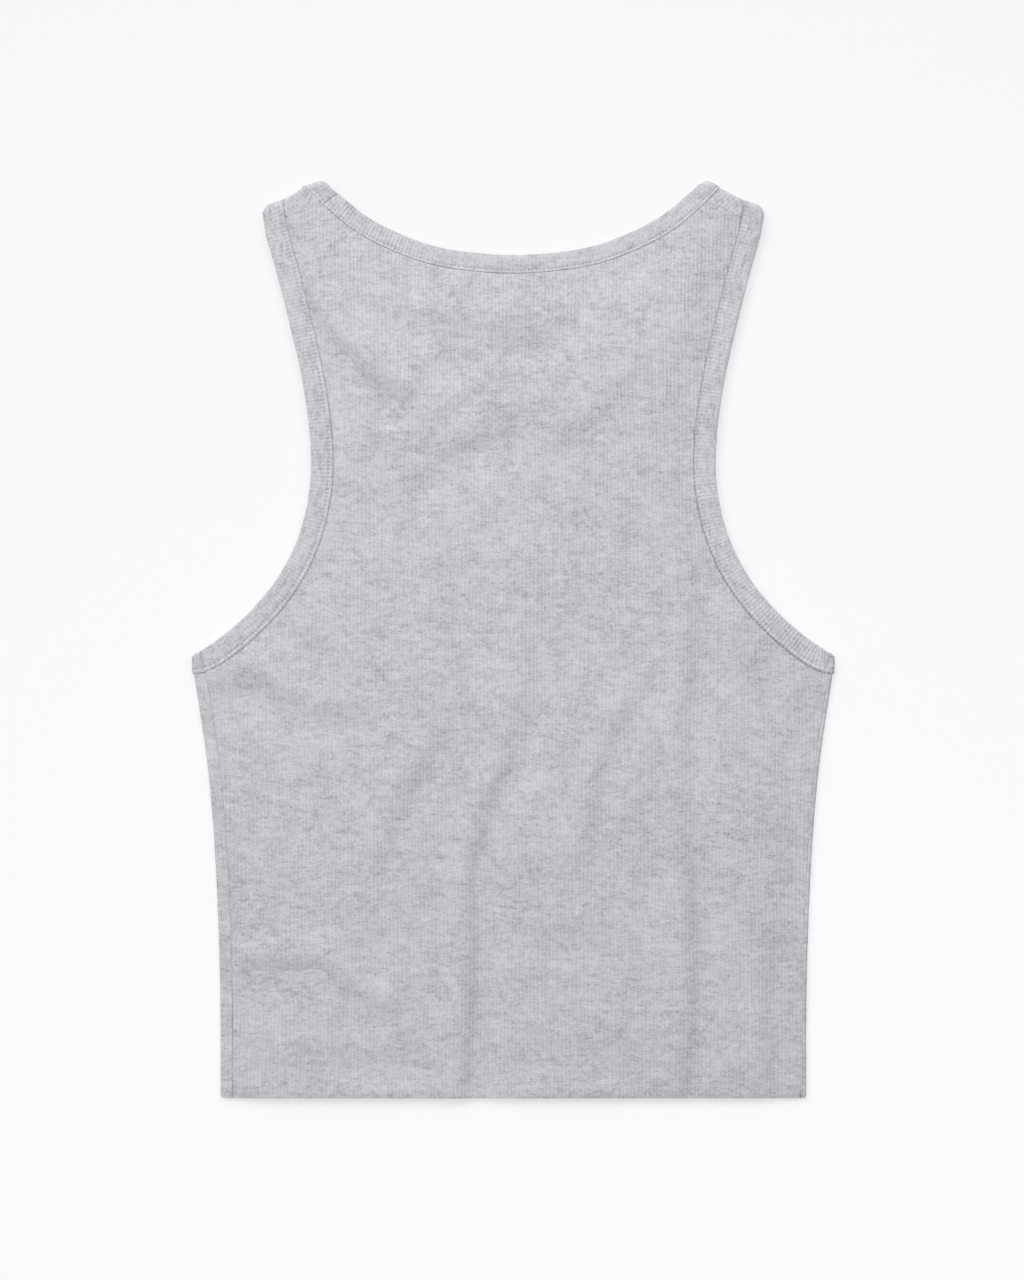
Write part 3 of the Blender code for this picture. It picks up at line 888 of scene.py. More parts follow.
def place_front(points, depth, drop):
    """The front panel's points from its opened-out shape: depth 0 is its inner face and 1 its outer."""
    cloth = settings()[0]
    raised = ribs(rib_place(points), cloth.rib_height) - cloth.rib_height
    for fold in SIDES.values():
        past = np.where(points[:, 1] > SIDE["up"][-1], -BEYOND, fold.beyond(points, cloth.thickness))
        fade = smooth_step(-past / FADE_AT_FOLD)
        raised = raised * fade - (1.0 - fade) * cloth.rib_height / 2
    relief = raised + creased(points, UNDER_CREASES)
    height = cloth.thickness * (1.0 - depth) - depth * (relief - drop)
    flat = np.column_stack([points, height])
    for fold in (*SHOULDERS.values(), *SIDES.values()):
        past = fold.beyond(points, cloth.thickness)
        if isinstance(fold, SideFold):
            past = np.where(points[:, 1] > SIDE["up"][-1], -1.0, past)
        there = past > TURNED
        if not there.any():
            continue
        past, opened = past[there], points[there]
        foot = opened - past[:, None] * fold.out
        turn = fold.radius(opened)
        angle = np.minimum(past / turn, math.pi)
        share = smooth_step(2 * (angle / math.pi - RIBS_FROM))
        if isinstance(fold, ShoulderFold):
            raised = ribs(rib_place(opened), cloth.rib_height) - (1.0 - share) * cloth.rib_height
        else:
            beside = ribs(past - math.pi * turn, cloth.rib_height)
            raised = share * beside - (1.0 - share) * cloth.rib_height / 2
        back = np.maximum(0.0, past - math.pi * turn)
        rolled_by = drop[there] * np.where(angle > math.pi / 2, seam_roll(opened), 1.0)
        if fold is SHOULDERS["left"]:
            from_neck = np.abs(signed_distance(NECK, foot - back[:, None] * fold.out))
            beside = from_neck - settings()[1].neck_width / 2
            near = (1.0 - smooth_step(beside / BLEND_WIDTH)) * share
            raised = raised * (1.0 - near) + BLEND_HEIGHT * near
            rolled_by = rolled_by * (1.0 - near)
        rise = fold.rise(foot) * np.sin(angle)
        arm = turn + (depth - 0.5) * cloth.thickness + (raised - rolled_by) * depth + rise
        plan = foot + (arm * np.sin(angle) - back)[:, None] * fold.out
        height = np.maximum(0.0, turn + cloth.thickness / 2 - arm * np.cos(angle))
        height += np.where(angle >= math.pi, bed(plan) - 2 * turn, 0.0)
        flat[there] = np.column_stack([plan, height])
    return flat


def shoulder_strip(side):
    """The front panel's edge over one shoulder, opened out, from the armhole to the neck."""
    binding = settings()[1]
    fold = SHOULDERS[side]
    sign = 1.0 if side == "right" else -1.0
    arm = ARM_RIGHT if side == "right" else ARM_LEFT[::-1]

    def turned_over(points):
        return np.minimum(-fold.beyond(points, binding.thickness), -fold.seam(points) - SEAM_GAP / 2)

    arm_edge = clip(offset(arm, sign * (binding.arm_width / 2 + FOLD_GAP)), turned_over)
    half_neck = NECK[NECK[:, 0] * sign > 0]
    neck_gap = FOLD_GAP if side == "right" else 0.0
    neck_edge = clip(offset(half_neck, binding.neck_width / 2 + neck_gap), turned_over)
    if side == "left":
        neck_edge = neck_edge[::-1]
    arm_edge = unfolded(fold, resample(arm_edge, OUTLINE_STEP))
    neck_edge = unfolded(fold, resample(neck_edge, OUTLINE_STEP))
    return np.concatenate([arm_edge, neck_edge])


def front_outline():
    binding = settings()[1]

    def under(points):
        value = np.full(len(points), np.inf)
        for fold in SHOULDERS.values():
            value = np.minimum(value, -fold.beyond(points, binding.thickness))
        for fold in SIDES.values():
            low = points[:, 1] < SIDE["up"][-1]
            value = np.minimum(value, np.where(low, -fold.beyond(points, binding.thickness), np.inf))
        return value

    right = edge_path(ARM_UNDER_RIGHT, binding.arm_width, under)[::-1]
    left = edge_path(ARM_UNDER_LEFT, binding.arm_width, under)[::-1]
    neck = edge_path(NECK_UNDER, binding.neck_width, under)[::-1]
    right_strip = shoulder_strip("right")
    left_strip = shoulder_strip("left")[::-1]
    seams = {}
    for side, fold in SIDES.items():
        end = right[0] if side == "right" else left[-1]
        seam = side_seam(fold, end[1] + SEAM_GAP - FOLD_GAP) + np.array([fold.sign * SEAM_GAP / 2, 0.0])
        seams[side] = unfolded(fold, seam)
    parts = [seams["right"], right, right_strip, neck, left_strip, left, seams["left"][::-1]]
    return np.concatenate(parts)


def turn_lines(fold, axis):
    """Lines along a fold, spread round its turn from the given axis line."""
    shares = np.arange(FOLD_SEGMENTS + 1) / FOLD_SEGMENTS
    return [axis + share * math.pi * fold.radius(axis)[:, None] * fold.out for share in shares]


def fold_lines():
    """Lines round the turns of the folds, and along the ribs of the side strips."""
    cloth = settings()[0]
    turns, strips = [], []
    for fold in SIDES.values():
        up = np.concatenate([[-COURSE_STEP], side_heights(SIDE["up"][-1] - HEM_CORNER, COURSE_STEP)])
        axis = np.stack([fold.sign * side_half(up), up], axis=1)
        axis -= fold.beyond(axis, cloth.thickness)[:, None] * fold.out
        turns += turn_lines(fold, axis)
        step = cloth.rib_pitch / COLUMNS_PER_RIB
        for past in np.arange(step, fold.inset - cloth.thickness, step):
            strips.append(axis + (math.pi * fold.radius(axis) + past)[:, None] * fold.out)
    for fold in SHOULDERS.values():
        marks = np.linspace(-SHOULDER_REACH, SHOULDER_REACH, SHOULDER_MARKS)
        ends = fold.point + np.outer(marks, fold.along)
        ends -= fold.beyond(ends, cloth.thickness)[:, None] * fold.out
        turns += turn_lines(fold, ends)
    return turns, strips


def between_side_folds(points):
    """True where the front panel lies flat or goes over a shoulder."""
    low = points[:, 1] < SIDE["up"][-1] + COURSE_STEP
    past = np.maximum(*(fold.beyond(points, settings()[0].thickness) for fold in SIDES.values()))
    return ~low | (past < -CLEAR_OF_FOLD)


# Bindings

TURN_LENGTH = 14.0  # over this length a binding's sections turn from square to the fold's own line
PANEL_CORNER = 0.45
EDGE_ROUND = 0.35  # how far in from its free edge a binding starts to turn down
EDGE_TURNS = (60, 30, 0, -30, -60)  # the degrees at which its free edge has points
BESIDE_DIP = (-0.6, -0.3, 0.0, 0.3, 0.6, 1.2)  # how far from its seam the points of its dip lie
TOP_FROM, TOP_POINTS = 2.2, 5  # from how far past the seam the rest of its top has points, and how many
SEAM_CORNER = ((0.1, 0.06), (0.0, 0.25), (0.0, 0.75), (0.1, 0.94))  # how far in and how high, at the panel
RELIEF_GAIN = 1.4
JOIN_WIDTH, JOIN_DEPTH = 0.5, 0.6
SEAM_DIP, SEAM_DIP_WIDTH = 0.1, 0.6
HOLE_DEPTH, HOLE_WIDTH = 0.5, 0.34
DIP_ON_RIBS = 0.6
JOIN_FADE = 6
CROWN = 0.12
UNEVEN_BINDING = (0.5, 1.25)
HIGHEST_RELIEF = 0.35

# A binding's ribs stand out more near its "ribbed" place
USUAL_RIBS, MORE_RIBS, RIBBED_REACH = 0.7, 1.1, 26.0

# Each binding has its line over the garment and its line under it, the folds at its ends, its seam's
# distance from the panel's edge, the place where it is joined and how far that line slants, the place near
# which its ribs stand out most, and where beside its seam painted shade marks a row of needle holes, and
# how dark that is.
STRIPS = {
    "neck": {
        "over": NECK,
        "under": NECK_UNDER,
        "folds": (SHOULDERS["left"], SHOULDERS["right"]),
        "width": "neck_width",
        "seam_inset": 1.5,
        "join": (-95.5, 471.0),
        "slant": 0.0,
        "ribbed": (-76.0, 457.0),
        "holes": (0.0, 0.15),
    },
    "left": {
        "over": ARM_LEFT,
        "under": ARM_UNDER_LEFT,
        "folds": (SIDES["left"], SHOULDERS["left"]),
        "width": "arm_width",
        "seam_inset": 2.3,
        "join": (-163.4, 229.0),
        "slant": -0.8,
        "ribbed": (-142.0, 243.0),
        "holes": (0.0, 0.3),
    },
    "right": {
        "over": ARM_RIGHT,
        "under": ARM_UNDER_RIGHT,
        "folds": (SHOULDERS["right"], SIDES["right"]),
        "width": "arm_width",
        "seam_inset": 2.3,
        "join": (165.4, 228.8),
        "slant": 2.4,
        "ribbed": (143.0, 243.0),
        "holes": (-1.9, 0.9),
    },
}


def wings(path, half_width, folds):
    """For each section, the vector from its centre to its free edge, along the fold at each end."""
    ahead = directions(path)
    left = np.stack([-ahead[:, 1], ahead[:, 0]], axis=1)
    along = lengths(path)
    facing = left.copy()
    for fold, distance, end in zip(folds, (along, along[-1] - along), (0, -1)):
        line = fold.along * np.sign(fold.along @ left[end])
        share = (1.0 - smooth_step(distance / TURN_LENGTH))[:, None]
        facing = facing * (1.0 - share) + line * share
    facing /= np.hypot(*facing.T)[:, None]
    return facing * half_width / (facing * left).sum(1)[:, None]


def strip_ring(width, seam_inset):
    """A binding's section.

    Each point has its place across, its level, its direction outwards, how much relief shows there, and
    its distance from the seam.
    """
    half, flat = width / 2, width / 2 - EDGE_ROUND
    seam = seam_inset - half
    near_seam = [PANEL_CORNER - half, *(seam + np.array(BESIDE_DIP))]
    top = [*near_seam, *np.linspace(seam + TOP_FROM, flat, TOP_POINTS)]
    rows = [(across, 1.0, 0.0, 1.0) for across in top]
    for turn in np.radians(EDGE_TURNS):
        out, up = math.cos(turn), math.sin(turn)
        rows.append((flat + EDGE_ROUND * out, 0.5 + 0.5 * up, out, up))
    rows += [(across, 0.0, 0.0, -1.0) for across in (flat, 0.0, PANEL_CORNER - half)]
    rows += [(inset - half, high, -1.0, 0.0) for inset, high in SEAM_CORNER]
    ring = table("across level out up", *rows)
    turned = smooth_step(ring["level"] * RELIEF_GAIN) * (ring["out"] > 0)
    ring["relief"] = np.where(ring["level"] >= SEAM_CORNER[-1][1], 1.0, turned)
    ring["seam"] = ring["across"] + half - seam_inset
    return ring


def strip_relief(strip, ring, across, top, count):
    """How far a binding's points stand out.

    It has ribs across it, a crown, a dip with needle holes along its seam, and a groove at its join.
    """
    cloth, binding, _ = settings()
    place = np.arange(count) / COLUMNS_PER_RIB
    dip = np.exp(-((ring["seam"] / SEAM_DIP_WIDTH) ** 2))
    crown = CROWN * np.clip(1.0 - across**2, 0.0, 1.0)
    wave = np.cos(2 * math.pi * place)
    shape = (2, count // COLUMNS_PER_RIB + 1)
    uneven = np.random.default_rng(len(top)).uniform(*UNEVEN_BINDING, shape)
    from_ribbed = np.hypot(*(top - strip["ribbed"]).T)
    strength = USUAL_RIBS + MORE_RIBS * np.exp(-((from_ribbed / RIBBED_REACH) ** 2))
    strength = np.concatenate([strength, np.full(count - len(top), USUAL_RIBS)])
    strength *= np.interp(place - 0.5, np.arange(shape[1]), uneven[1])
    rise = binding.rib_height * (0.5 + 0.5 * wave) * strength
    holes = HOLE_DEPTH * (0.5 - 0.5 * wave) ** 3 * uneven[0, np.arange(count) // COLUMNS_PER_RIB]
    from_join = np.arange(count)[:, None] - nearest(top, strip["join"])
    from_join = from_join * (cloth.rib_pitch / COLUMNS_PER_RIB) - strip["slant"] * across
    groove = JOIN_DEPTH * np.exp(-((from_join / JOIN_WIDTH) ** 2))
    relief = rise[:, None] * (1.0 - DIP_ON_RIBS * dip) + crown - SEAM_DIP * dip
    relief -= groove * (1.0 - np.maximum(across, 0.0) ** JOIN_FADE)
    relief -= holes[:, None] * np.exp(-((ring["seam"] / HOLE_WIDTH) ** 2))
    return relief * ring["relief"]


def strip_sections(strip):
    """A binding's points, section by section: over the garment, round the second fold, back and up the first.

    Also gives how far along the binding each section lies, and what strip_ring says of its points.
    """
    cloth, binding, _ = settings()
    width, thick = getattr(binding, strip["width"]), binding.thickness
    folds = strip["folds"]
    ring = strip_ring(width, strip["seam_inset"])
    across = ring["across"] / (width / 2)

    def between(points):
        return -np.maximum(folds[0].beyond(points, thick), folds[1].beyond(points, thick))

    step = cloth.rib_pitch / COLUMNS_PER_RIB
    top = resample(clip(strip["over"], between), step, COLUMNS_PER_RIB)
    bottom = resample(clip(strip["under"], between), step, COLUMNS_PER_RIB)
    top_wings = wings(top, width / 2, folds)
    bottom_wings = wings(bottom, width / 2, folds)
    count = len(top) + len(bottom) + 2 * (FOLD_SEGMENTS - 1)
    relief = strip_relief(strip, ring, across, top, count)
    turn = over_binding() / 2
    squared = np.maximum(across, 0.0) ** 4

    def lying(path, vectors, relief, over):
        unit = vectors / np.hypot(*vectors.T)[:, None]
        spread = across * np.ones((len(path), 1))
        plan = path[:, None] + spread[..., None] * vectors[:, None]
        plan += (ring["out"] * relief)[..., None] * unit[:, None]
        for fold, end in zip(folds, (0, -1)):
            far = np.hypot(*(path - path[end]).T)
            share = 1.0 - smooth_step(far / fold.corner_length)
            plan -= (share[:, None] * squared)[..., None] * fold.corner
        raised = ring["up"] * relief
        if over:
            lower_side = bed(plan.reshape(-1, 2)).reshape(plan.shape[:2])
            heights = lower_side + ring["level"] * thick + raised
        else:
            room = (HIGHEST_RELIEF - raised) * ring["relief"]
            heights = np.maximum(0.0, (1.0 - ring["level"]) * thick + room)
        return np.concatenate([plan, heights[..., None]], axis=2)

    def turning(fold, start, start_wing, end, end_wing, relief, rising):
        share = np.arange(1, FOLD_SEGMENTS)[:, None] / FOLD_SEGMENTS
        angle = math.pi * (1.0 - share if rising else share)
        centre = start + share * (end - start)
        wing = start_wing + share * (end_wing - start_wing)
        sink = HIGHEST_RELIEF * ring["relief"] * (0.5 - 0.5 * np.cos(angle))
        arm = turn + (ring["level"] - 0.5) * thick + relief * ring["up"] - sink
        plan = centre[:, None] + across[:, None] * wing[:, None]
        arm = arm + fold.rise(plan) * np.sin(angle)
        plan = plan - squared[:, None] * (fold.corner + np.sin(angle)[..., None] * fold.tip)
        plan = plan + (arm * np.sin(angle))[..., None] * fold.out
        heights = np.maximum(0.0, turn + thick / 2 + arm * np.cos(angle))
        return np.concatenate([plan, heights[..., None]], axis=2)

    marks = np.cumsum([len(top), FOLD_SEGMENTS - 1, len(bottom)])
    over, first_turn, under, last_turn = np.split(relief, marks)
    sections = [
        lying(top, top_wings, over, True),
        turning(folds[1], top[-1], top_wings[-1], bottom[-1], bottom_wings[-1], first_turn, False),
        lying(bottom[::-1], bottom_wings[::-1], under, False),
        turning(folds[0], bottom[0], bottom_wings[0], top[0], top_wings[0], last_turn, True),
    ]
    along = np.arange(count) / COLUMNS_PER_RIB * cloth.rib_pitch
    return np.concatenate(sections), along, ring


def add_strip(name, strip, pattern, material):
    sections, along, ring = strip_sections(strip)
    count, around = sections.shape[:2]
    s, r = np.meshgrid(np.arange(count), np.arange(around), indexing="ij")
    ahead, beside = (s + 1) % count, (r + 1) % around
    corners = [s * around + r, s * around + beside, ahead * around + beside, ahead * around + r]
    faces = np.stack(corners, axis=2)
    u = along[:, None] * np.ones(around)
    v = ring["seam"] * np.ones((count, 1))
    cloth = np.stack([u, v, np.full(u.shape, float(pattern))], axis=2).reshape(-1, 3)
    return add_mesh(name, sections.reshape(-1, 3), faces.reshape(-1, 4).tolist(), cloth, material)


# Sewing

THREAD_RADIUS = 0.16
THREAD_SIDES = 6
THREAD_SLANT = 0.08
THREAD_LIFT = 0.03
STITCH_SAG = 0.3
STITCH_UNEVEN = 0.15
TWIST_SHIFT = 3.0  # how far the thread's twist is shifted from one stitch to the next
ON_TOP = 1.5  # where a binding is higher than this many of its thicknesses, it lies on top
JOIN_ROW, JOIN_STITCH, JOIN_RADIUS = (0.5, 1.0, 1.2), 0.8, 0.24  # the row's two insets and its step
# The join stitches' thread is darkened to this share of its tone, as painted shade of the join's groove
JOIN_SHADE_TONE = 0.4
SHOULDER_STITCH, SHOULDER_STEP, SHOULDER_LIFT = (1.7, 0.5), 1.7, 0.12  # a stroke across the seam and along it
SHOULDER_ROW, SHOULDER_STRAY, SHOULDER_CLEAR = 24.0, 0.3, 1.0
KNOTS = (("neck", -86.7, 462.5), ("right", 121.0, 447.0))  # the binding, and the place across and up
KNOT_INSET, KNOT_TURNS, KNOT_SIZE, KNOT_LIFT = 0.9, 5, 1.3, (0.05, 0.25)
SEWING_SEED = 11
THREAD_PROFILE = table(
    "along size sag",
    (0.0, 0.45, 1.0),
    (0.12, 0.9, 0.45),
    (0.5, 1.0, 0.0),
    (0.88, 0.9, 0.45),
    (1.0, 0.45, 1.0),
)


def add_stitches(name, starts, ends, outward, material, radius=THREAD_RADIUS):
    """Short lengths of thread from each start to its end, with both ends drawn down into the cloth."""
    along, size, sag = THREAD_PROFILE.values()
    run = ends - starts
    ahead = run / np.linalg.norm(run, axis=1)[:, None]
    outward = outward - (outward * ahead).sum(1)[:, None] * ahead
    outward /= np.linalg.norm(outward, axis=1)[:, None]
    beside = np.cross(ahead, outward)
    turns = 2 * math.pi * np.arange(THREAD_SIDES) / THREAD_SIDES
    centres = starts[:, None] + along[:, None] * run[:, None]
    centres = centres - (STITCH_SAG * sag)[:, None] * outward[:, None]
    round_it = np.cos(turns)[:, None] * outward[:, None, None]
    round_it = round_it + np.sin(turns)[:, None] * beside[:, None, None]
    points = centres[:, :, None] + (radius * size)[:, None, None] * round_it
    stations = len(along)
    faces = []
    for k in range(len(starts)):
        base = k * stations * THREAD_SIDES
        for i in range(stations - 1):
            for j in range(THREAD_SIDES):
                a = base + i * THREAD_SIDES + j
                b = base + i * THREAD_SIDES + (j + 1) % THREAD_SIDES
                faces.append((a, b, b + THREAD_SIDES, a + THREAD_SIDES))
        faces.append(tuple(range(base + THREAD_SIDES - 1, base - 1, -1)))
        last = base + (stations - 1) * THREAD_SIDES
        faces.append(tuple(range(last, last + THREAD_SIDES)))
    points = points.reshape(-1, 3)
    lying = np.repeat(np.tile(along, len(starts)), THREAD_SIDES) * settings()[1].stitch_length
    number = np.repeat(np.arange(len(starts)), stations * THREAD_SIDES)
    around = np.tile(turns, len(starts) * stations)
    cloth = np.column_stack([lying + number * TWIST_SHIFT, around, np.zeros(len(points))])
    return add_mesh(name, points, faces, cloth, material)


def strip_seam(strip, rng):
    """The row of stitches along a binding's dip, from each needle hole to the next, all the way round."""
    sections, _, ring = strip_sections(strip)
    beside = np.flatnonzero(ring["level"] == 1.0)
    beside = beside[np.argsort(np.abs(ring["seam"][beside]))]
    line = (sections[:, beside[1]] + sections[:, beside[2]]) / 2
    opposite = sections[:, int(np.abs(ring["level"] + np.abs(ring["across"])).argmin())]
    outward = line - opposite
    outward /= np.linalg.norm(outward, axis=1)[:, None]
    middle = np.arange(0, len(line), COLUMNS_PER_RIB)
    ahead = np.roll(line, -1, axis=0) - np.roll(line, 1, axis=0)
    ahead = (ahead / np.linalg.norm(ahead, axis=1)[:, None])[middle]
    run = settings()[1].stitch_length + rng.uniform(-STITCH_UNEVEN, STITCH_UNEVEN, len(middle))
    slant = THREAD_SLANT * np.cross(outward[middle], ahead)
    half = run[:, None] / 2 * ahead + slant
    centre = line[middle] + THREAD_LIFT * outward[middle]
    return centre - half, centre + half, outward[middle]


def on_top(strip, place):
    """The line across a binding's upper side where it passes nearest to a place."""
    sections, _, ring = strip_sections(strip)
    top = sections[:, ring["level"] == 1.0]
    over = np.flatnonzero(top[:, 0, 2] > settings()[1].thickness * ON_TOP)
    return top[over[nearest(top[over].mean(axis=1)[:, :2], place)]]


def join_stitches(strip):
    """A row of stitches across a binding, where its two ends are sewn together."""
    cloth, binding, _ = settings()
    sections, _, ring = strip_sections(strip)
    width = getattr(binding, strip["width"])
    top = np.flatnonzero(ring["level"] == 1.0)
    over = np.flatnonzero(sections[:, top[0], 2] > binding.thickness * ON_TOP)
    join = over[nearest(sections[over][:, top].mean(axis=1)[:, :2], strip["join"])]
    slant = strip["slant"] * ring["across"][top] * 2 / width * COLUMNS_PER_RIB / cloth.rib_pitch
    line = sections[(join + np.rint(slant).astype(int)) % len(sections), top]
    at = np.arange(JOIN_ROW[0], width - JOIN_ROW[1], JOIN_ROW[2])
    start, end = at_distances(line, at), at_distances(line, at + JOIN_STITCH)
    return start, end, np.tile((0.0, 0.0, 1.0), (len(at), 1))


def shoulder_stitches(rng):
    """The strokes of thread that cross the left shoulder seam, unevenly."""
    cloth, binding, _ = settings()
    fold = SHOULDERS["left"]
    at = np.arange(-SHOULDER_ROW, SHOULDER_ROW, SHOULDER_STEP)
    place = fold.point - SHOULDER_SEAM_INSET * fold.out + np.outer(at, fold.along)
    place += rng.uniform(-SHOULDER_STRAY, SHOULDER_STRAY, place.shape)
    neck = signed_distance(NECK, place) - binding.neck_width / 2
    arm = signed_distance(ARM_LEFT, place) - binding.arm_width / 2
    place = place[(neck > SHOULDER_CLEAR) & (arm > SHOULDER_CLEAR)]
    half = SHOULDER_STITCH[0] / 2 * fold.out + SHOULDER_STITCH[1] / 2 * fold.along
    ends = []
    for end in (place - half, place + half):
        height = bed(end) + cloth.thickness + cloth.rib_height + SHOULDER_LIFT
        ends.append(np.column_stack([end, height]))
    return *ends, np.tile((0.0, 0.0, 1.0), (len(place), 1))


def knots(rng):
    """A few lengths of thread, crossed at each place where a seam's thread is fastened."""
    starts, ends = [], []
    for name, x, up in KNOTS:
        line = on_top(STRIPS[name], (x, up))
        centre = at_distances(line, np.array([KNOT_INSET]))[0]
        for angle in rng.uniform(0.0, 2 * math.pi, KNOT_TURNS):
            reach = KNOT_SIZE / 2 * np.array([math.cos(angle), math.sin(angle), 0.0])
            lift = np.array([0.0, 0.0, rng.uniform(*KNOT_LIFT)])
            starts.append(centre + lift - reach)
            ends.append(centre + lift + reach)
    return np.array(starts), np.array(ends), np.tile((0.0, 0.0, 1.0), (len(starts), 1))


# Materials


class Nodes:
    """Adds nodes to a material one after another."""

    def __init__(self, name):
        self.material = bpy.data.materials.new(name)
        self.material.use_nodes = True
        self.tree = self.material.node_tree
        self.shader = self.tree.nodes["Principled BSDF"]

    def connect(self, node, inputs):
        """Gives each of a node's inputs a value or what another node puts out."""
        for key, value in inputs.items():
            if isinstance(value, bpy.types.NodeSocket):
                self.tree.links.new(value, node.inputs[key])
            else:
                node.inputs[key].default_value = value

    def add(self, kind, inputs=(), **values):
        node = self.tree.nodes.new(kind)
        for key, value in values.items():
            setattr(node, key, value)
        self.connect(node, dict(inputs))
        return node

    def cloth_place(self):
        """The place in the flat cloth: all of it, and its parts across the ribs and along them."""
        place = self.add("ShaderNodeAttribute", attribute_name="cloth").outputs["Vector"]
        return place, self.parts(place)

    def parts(self, vector):
        return self.add("ShaderNodeSeparateXYZ", {0: vector}).outputs

    def math(self, operation, *values, clamp=False):
        inputs = dict(enumerate(values))
        return self.add("ShaderNodeMath", inputs, operation=operation, use_clamp=clamp).outputs[0]

    def scaled(self, vector, sizes):
        """Noise coordinates in which one unit is the given size."""
        factors = [1.0 / size for size in sizes]
        inputs = {0: vector, 1: factors}
        return self.add("ShaderNodeVectorMath", inputs, operation="MULTIPLY").outputs[0]

    def noise(self, vector, sizes, detail=2.0, roughness=0.5):
        inputs = {
            "Vector": self.scaled(vector, sizes),
            "Scale": 1.0,
            "Detail": detail,
            "Roughness": roughness,
        }
        return self.add("ShaderNodeTexNoise", inputs).outputs["Fac"]

    def ramp(self, value, low, high):
        inputs = {"Value": value, "From Min": low, "From Max": high}
        return self.add("ShaderNodeMapRange", inputs, interpolation_type="SMOOTHSTEP").outputs[0]

    def mix(self, share, first, second):
        inputs = {"Factor": share, 6: first, 7: second}
        return self.add("ShaderNodeMix", inputs, data_type="RGBA").outputs[2]

    def multiplied(self, first, second):
        inputs = {"Factor": 1.0, 6: first, 7: second}
        return self.add("ShaderNodeMix", inputs, data_type="RGBA", blend_type="MULTIPLY").outputs[2]

    def uneven(self, vector, sizes):
        """Soft patches of the given sizes, from 0 to 1."""
        return self.ramp(self.noise(vector, sizes, *ROUGH_NOISE), *PATCH_LIMITS)

    def bump(self, strength, distance, height):
        inputs = {"Strength": strength, "Distance": distance, "Height": height}
        return self.add("ShaderNodeBump", inputs).outputs[0]

    def finished(self, inputs):
        """The material, once its shader has these inputs."""
        self.connect(self.shader, inputs)
        return self.material


WALE, COURSE = 1.0, 0.72  # one stitch's width and height
STITCH_LEAN = 0.55
ROUGH_NOISE = (2.0, 0.6)  # a noise's detail and roughness
PATCH_LIMITS = (0.3, 0.7)
HEATHER_DEPTH = 0.37  # the size of the heather's patches through the cloth

# Where dark fibres gather: patches of these sizes, and how strongly each size shows
HEATHER = table(
    "across along share",
    (0.75, 0.5, 0.60),
    (1.9, 0.9, 0.52),
    (4.4, 1.8, 0.50),
    (11.0, 4.6, 0.30),
    (27.0, 14.0, 0.19),
    (70.0, 60.0, 0.15),
)
USUAL_DARKNESS = 0.5
GROOVE_PAINTED_SHADE, MEAN_GROOVE = 0.22, 0.14  # painted shade between the ribs: how much it darkens the cloth there, and its mean, which is taken off again
GROOVE_POWER, GROOVE_PATCHES = 4.0, (5.0, 12.0, 0.5)
DARK_PATCHES = 1.6

# Painted shade at the needle holes: how far beside their row it darkens the cloth, and how much of it runs on
# along the seam between them
HOLE_SHADE_ROW, HOLE_SHADE_LINE = (0.6, 0.2), 0.3

# Painted shade on a binding's rounded free edge, which would otherwise catch the light: how much deeper in
# tone, and how far in
EDGE_PAINTED_SHADE, EDGE_PAINTED_SHADE_WIDTH = 0.2, 0.7

# Painted highlight on the rolled ridge between a binding's stitches and the panel: how much paler, and where
# it starts and ends
ROLL_PAINTED_HIGHLIGHT = 0.05
ROLL_START, ROLL_END = (-1.7, -1.0), (-0.15, -0.5)

# Patches that are a little cooler or warmer than the yarn
TINT_PATCHES = (9.0, 4.0, 0.21)
COOL_TINT, WARM_TINT = (0.992, 1.003, 1.003, 1.0), (1.008, 0.997, 0.997, 1.0)

# The cloth's finest relief and its finish
FUZZ_SIZES = (0.35, 0.12, 1.0)
LOOP_SHARE, FUZZ_SHARE = 0.5, 0.9
KNIT_BUMP, KNIT_BUMP_HEIGHT = 0.35, 0.00012  # the height in metres
KNIT_ROUGHNESS, FUZZ_SMOOTHS = 0.97, -0.08
KNIT_SPECULAR, KNIT_SHEEN, KNIT_SHEEN_ROUGHNESS = 0.2, 0.02, 0.6


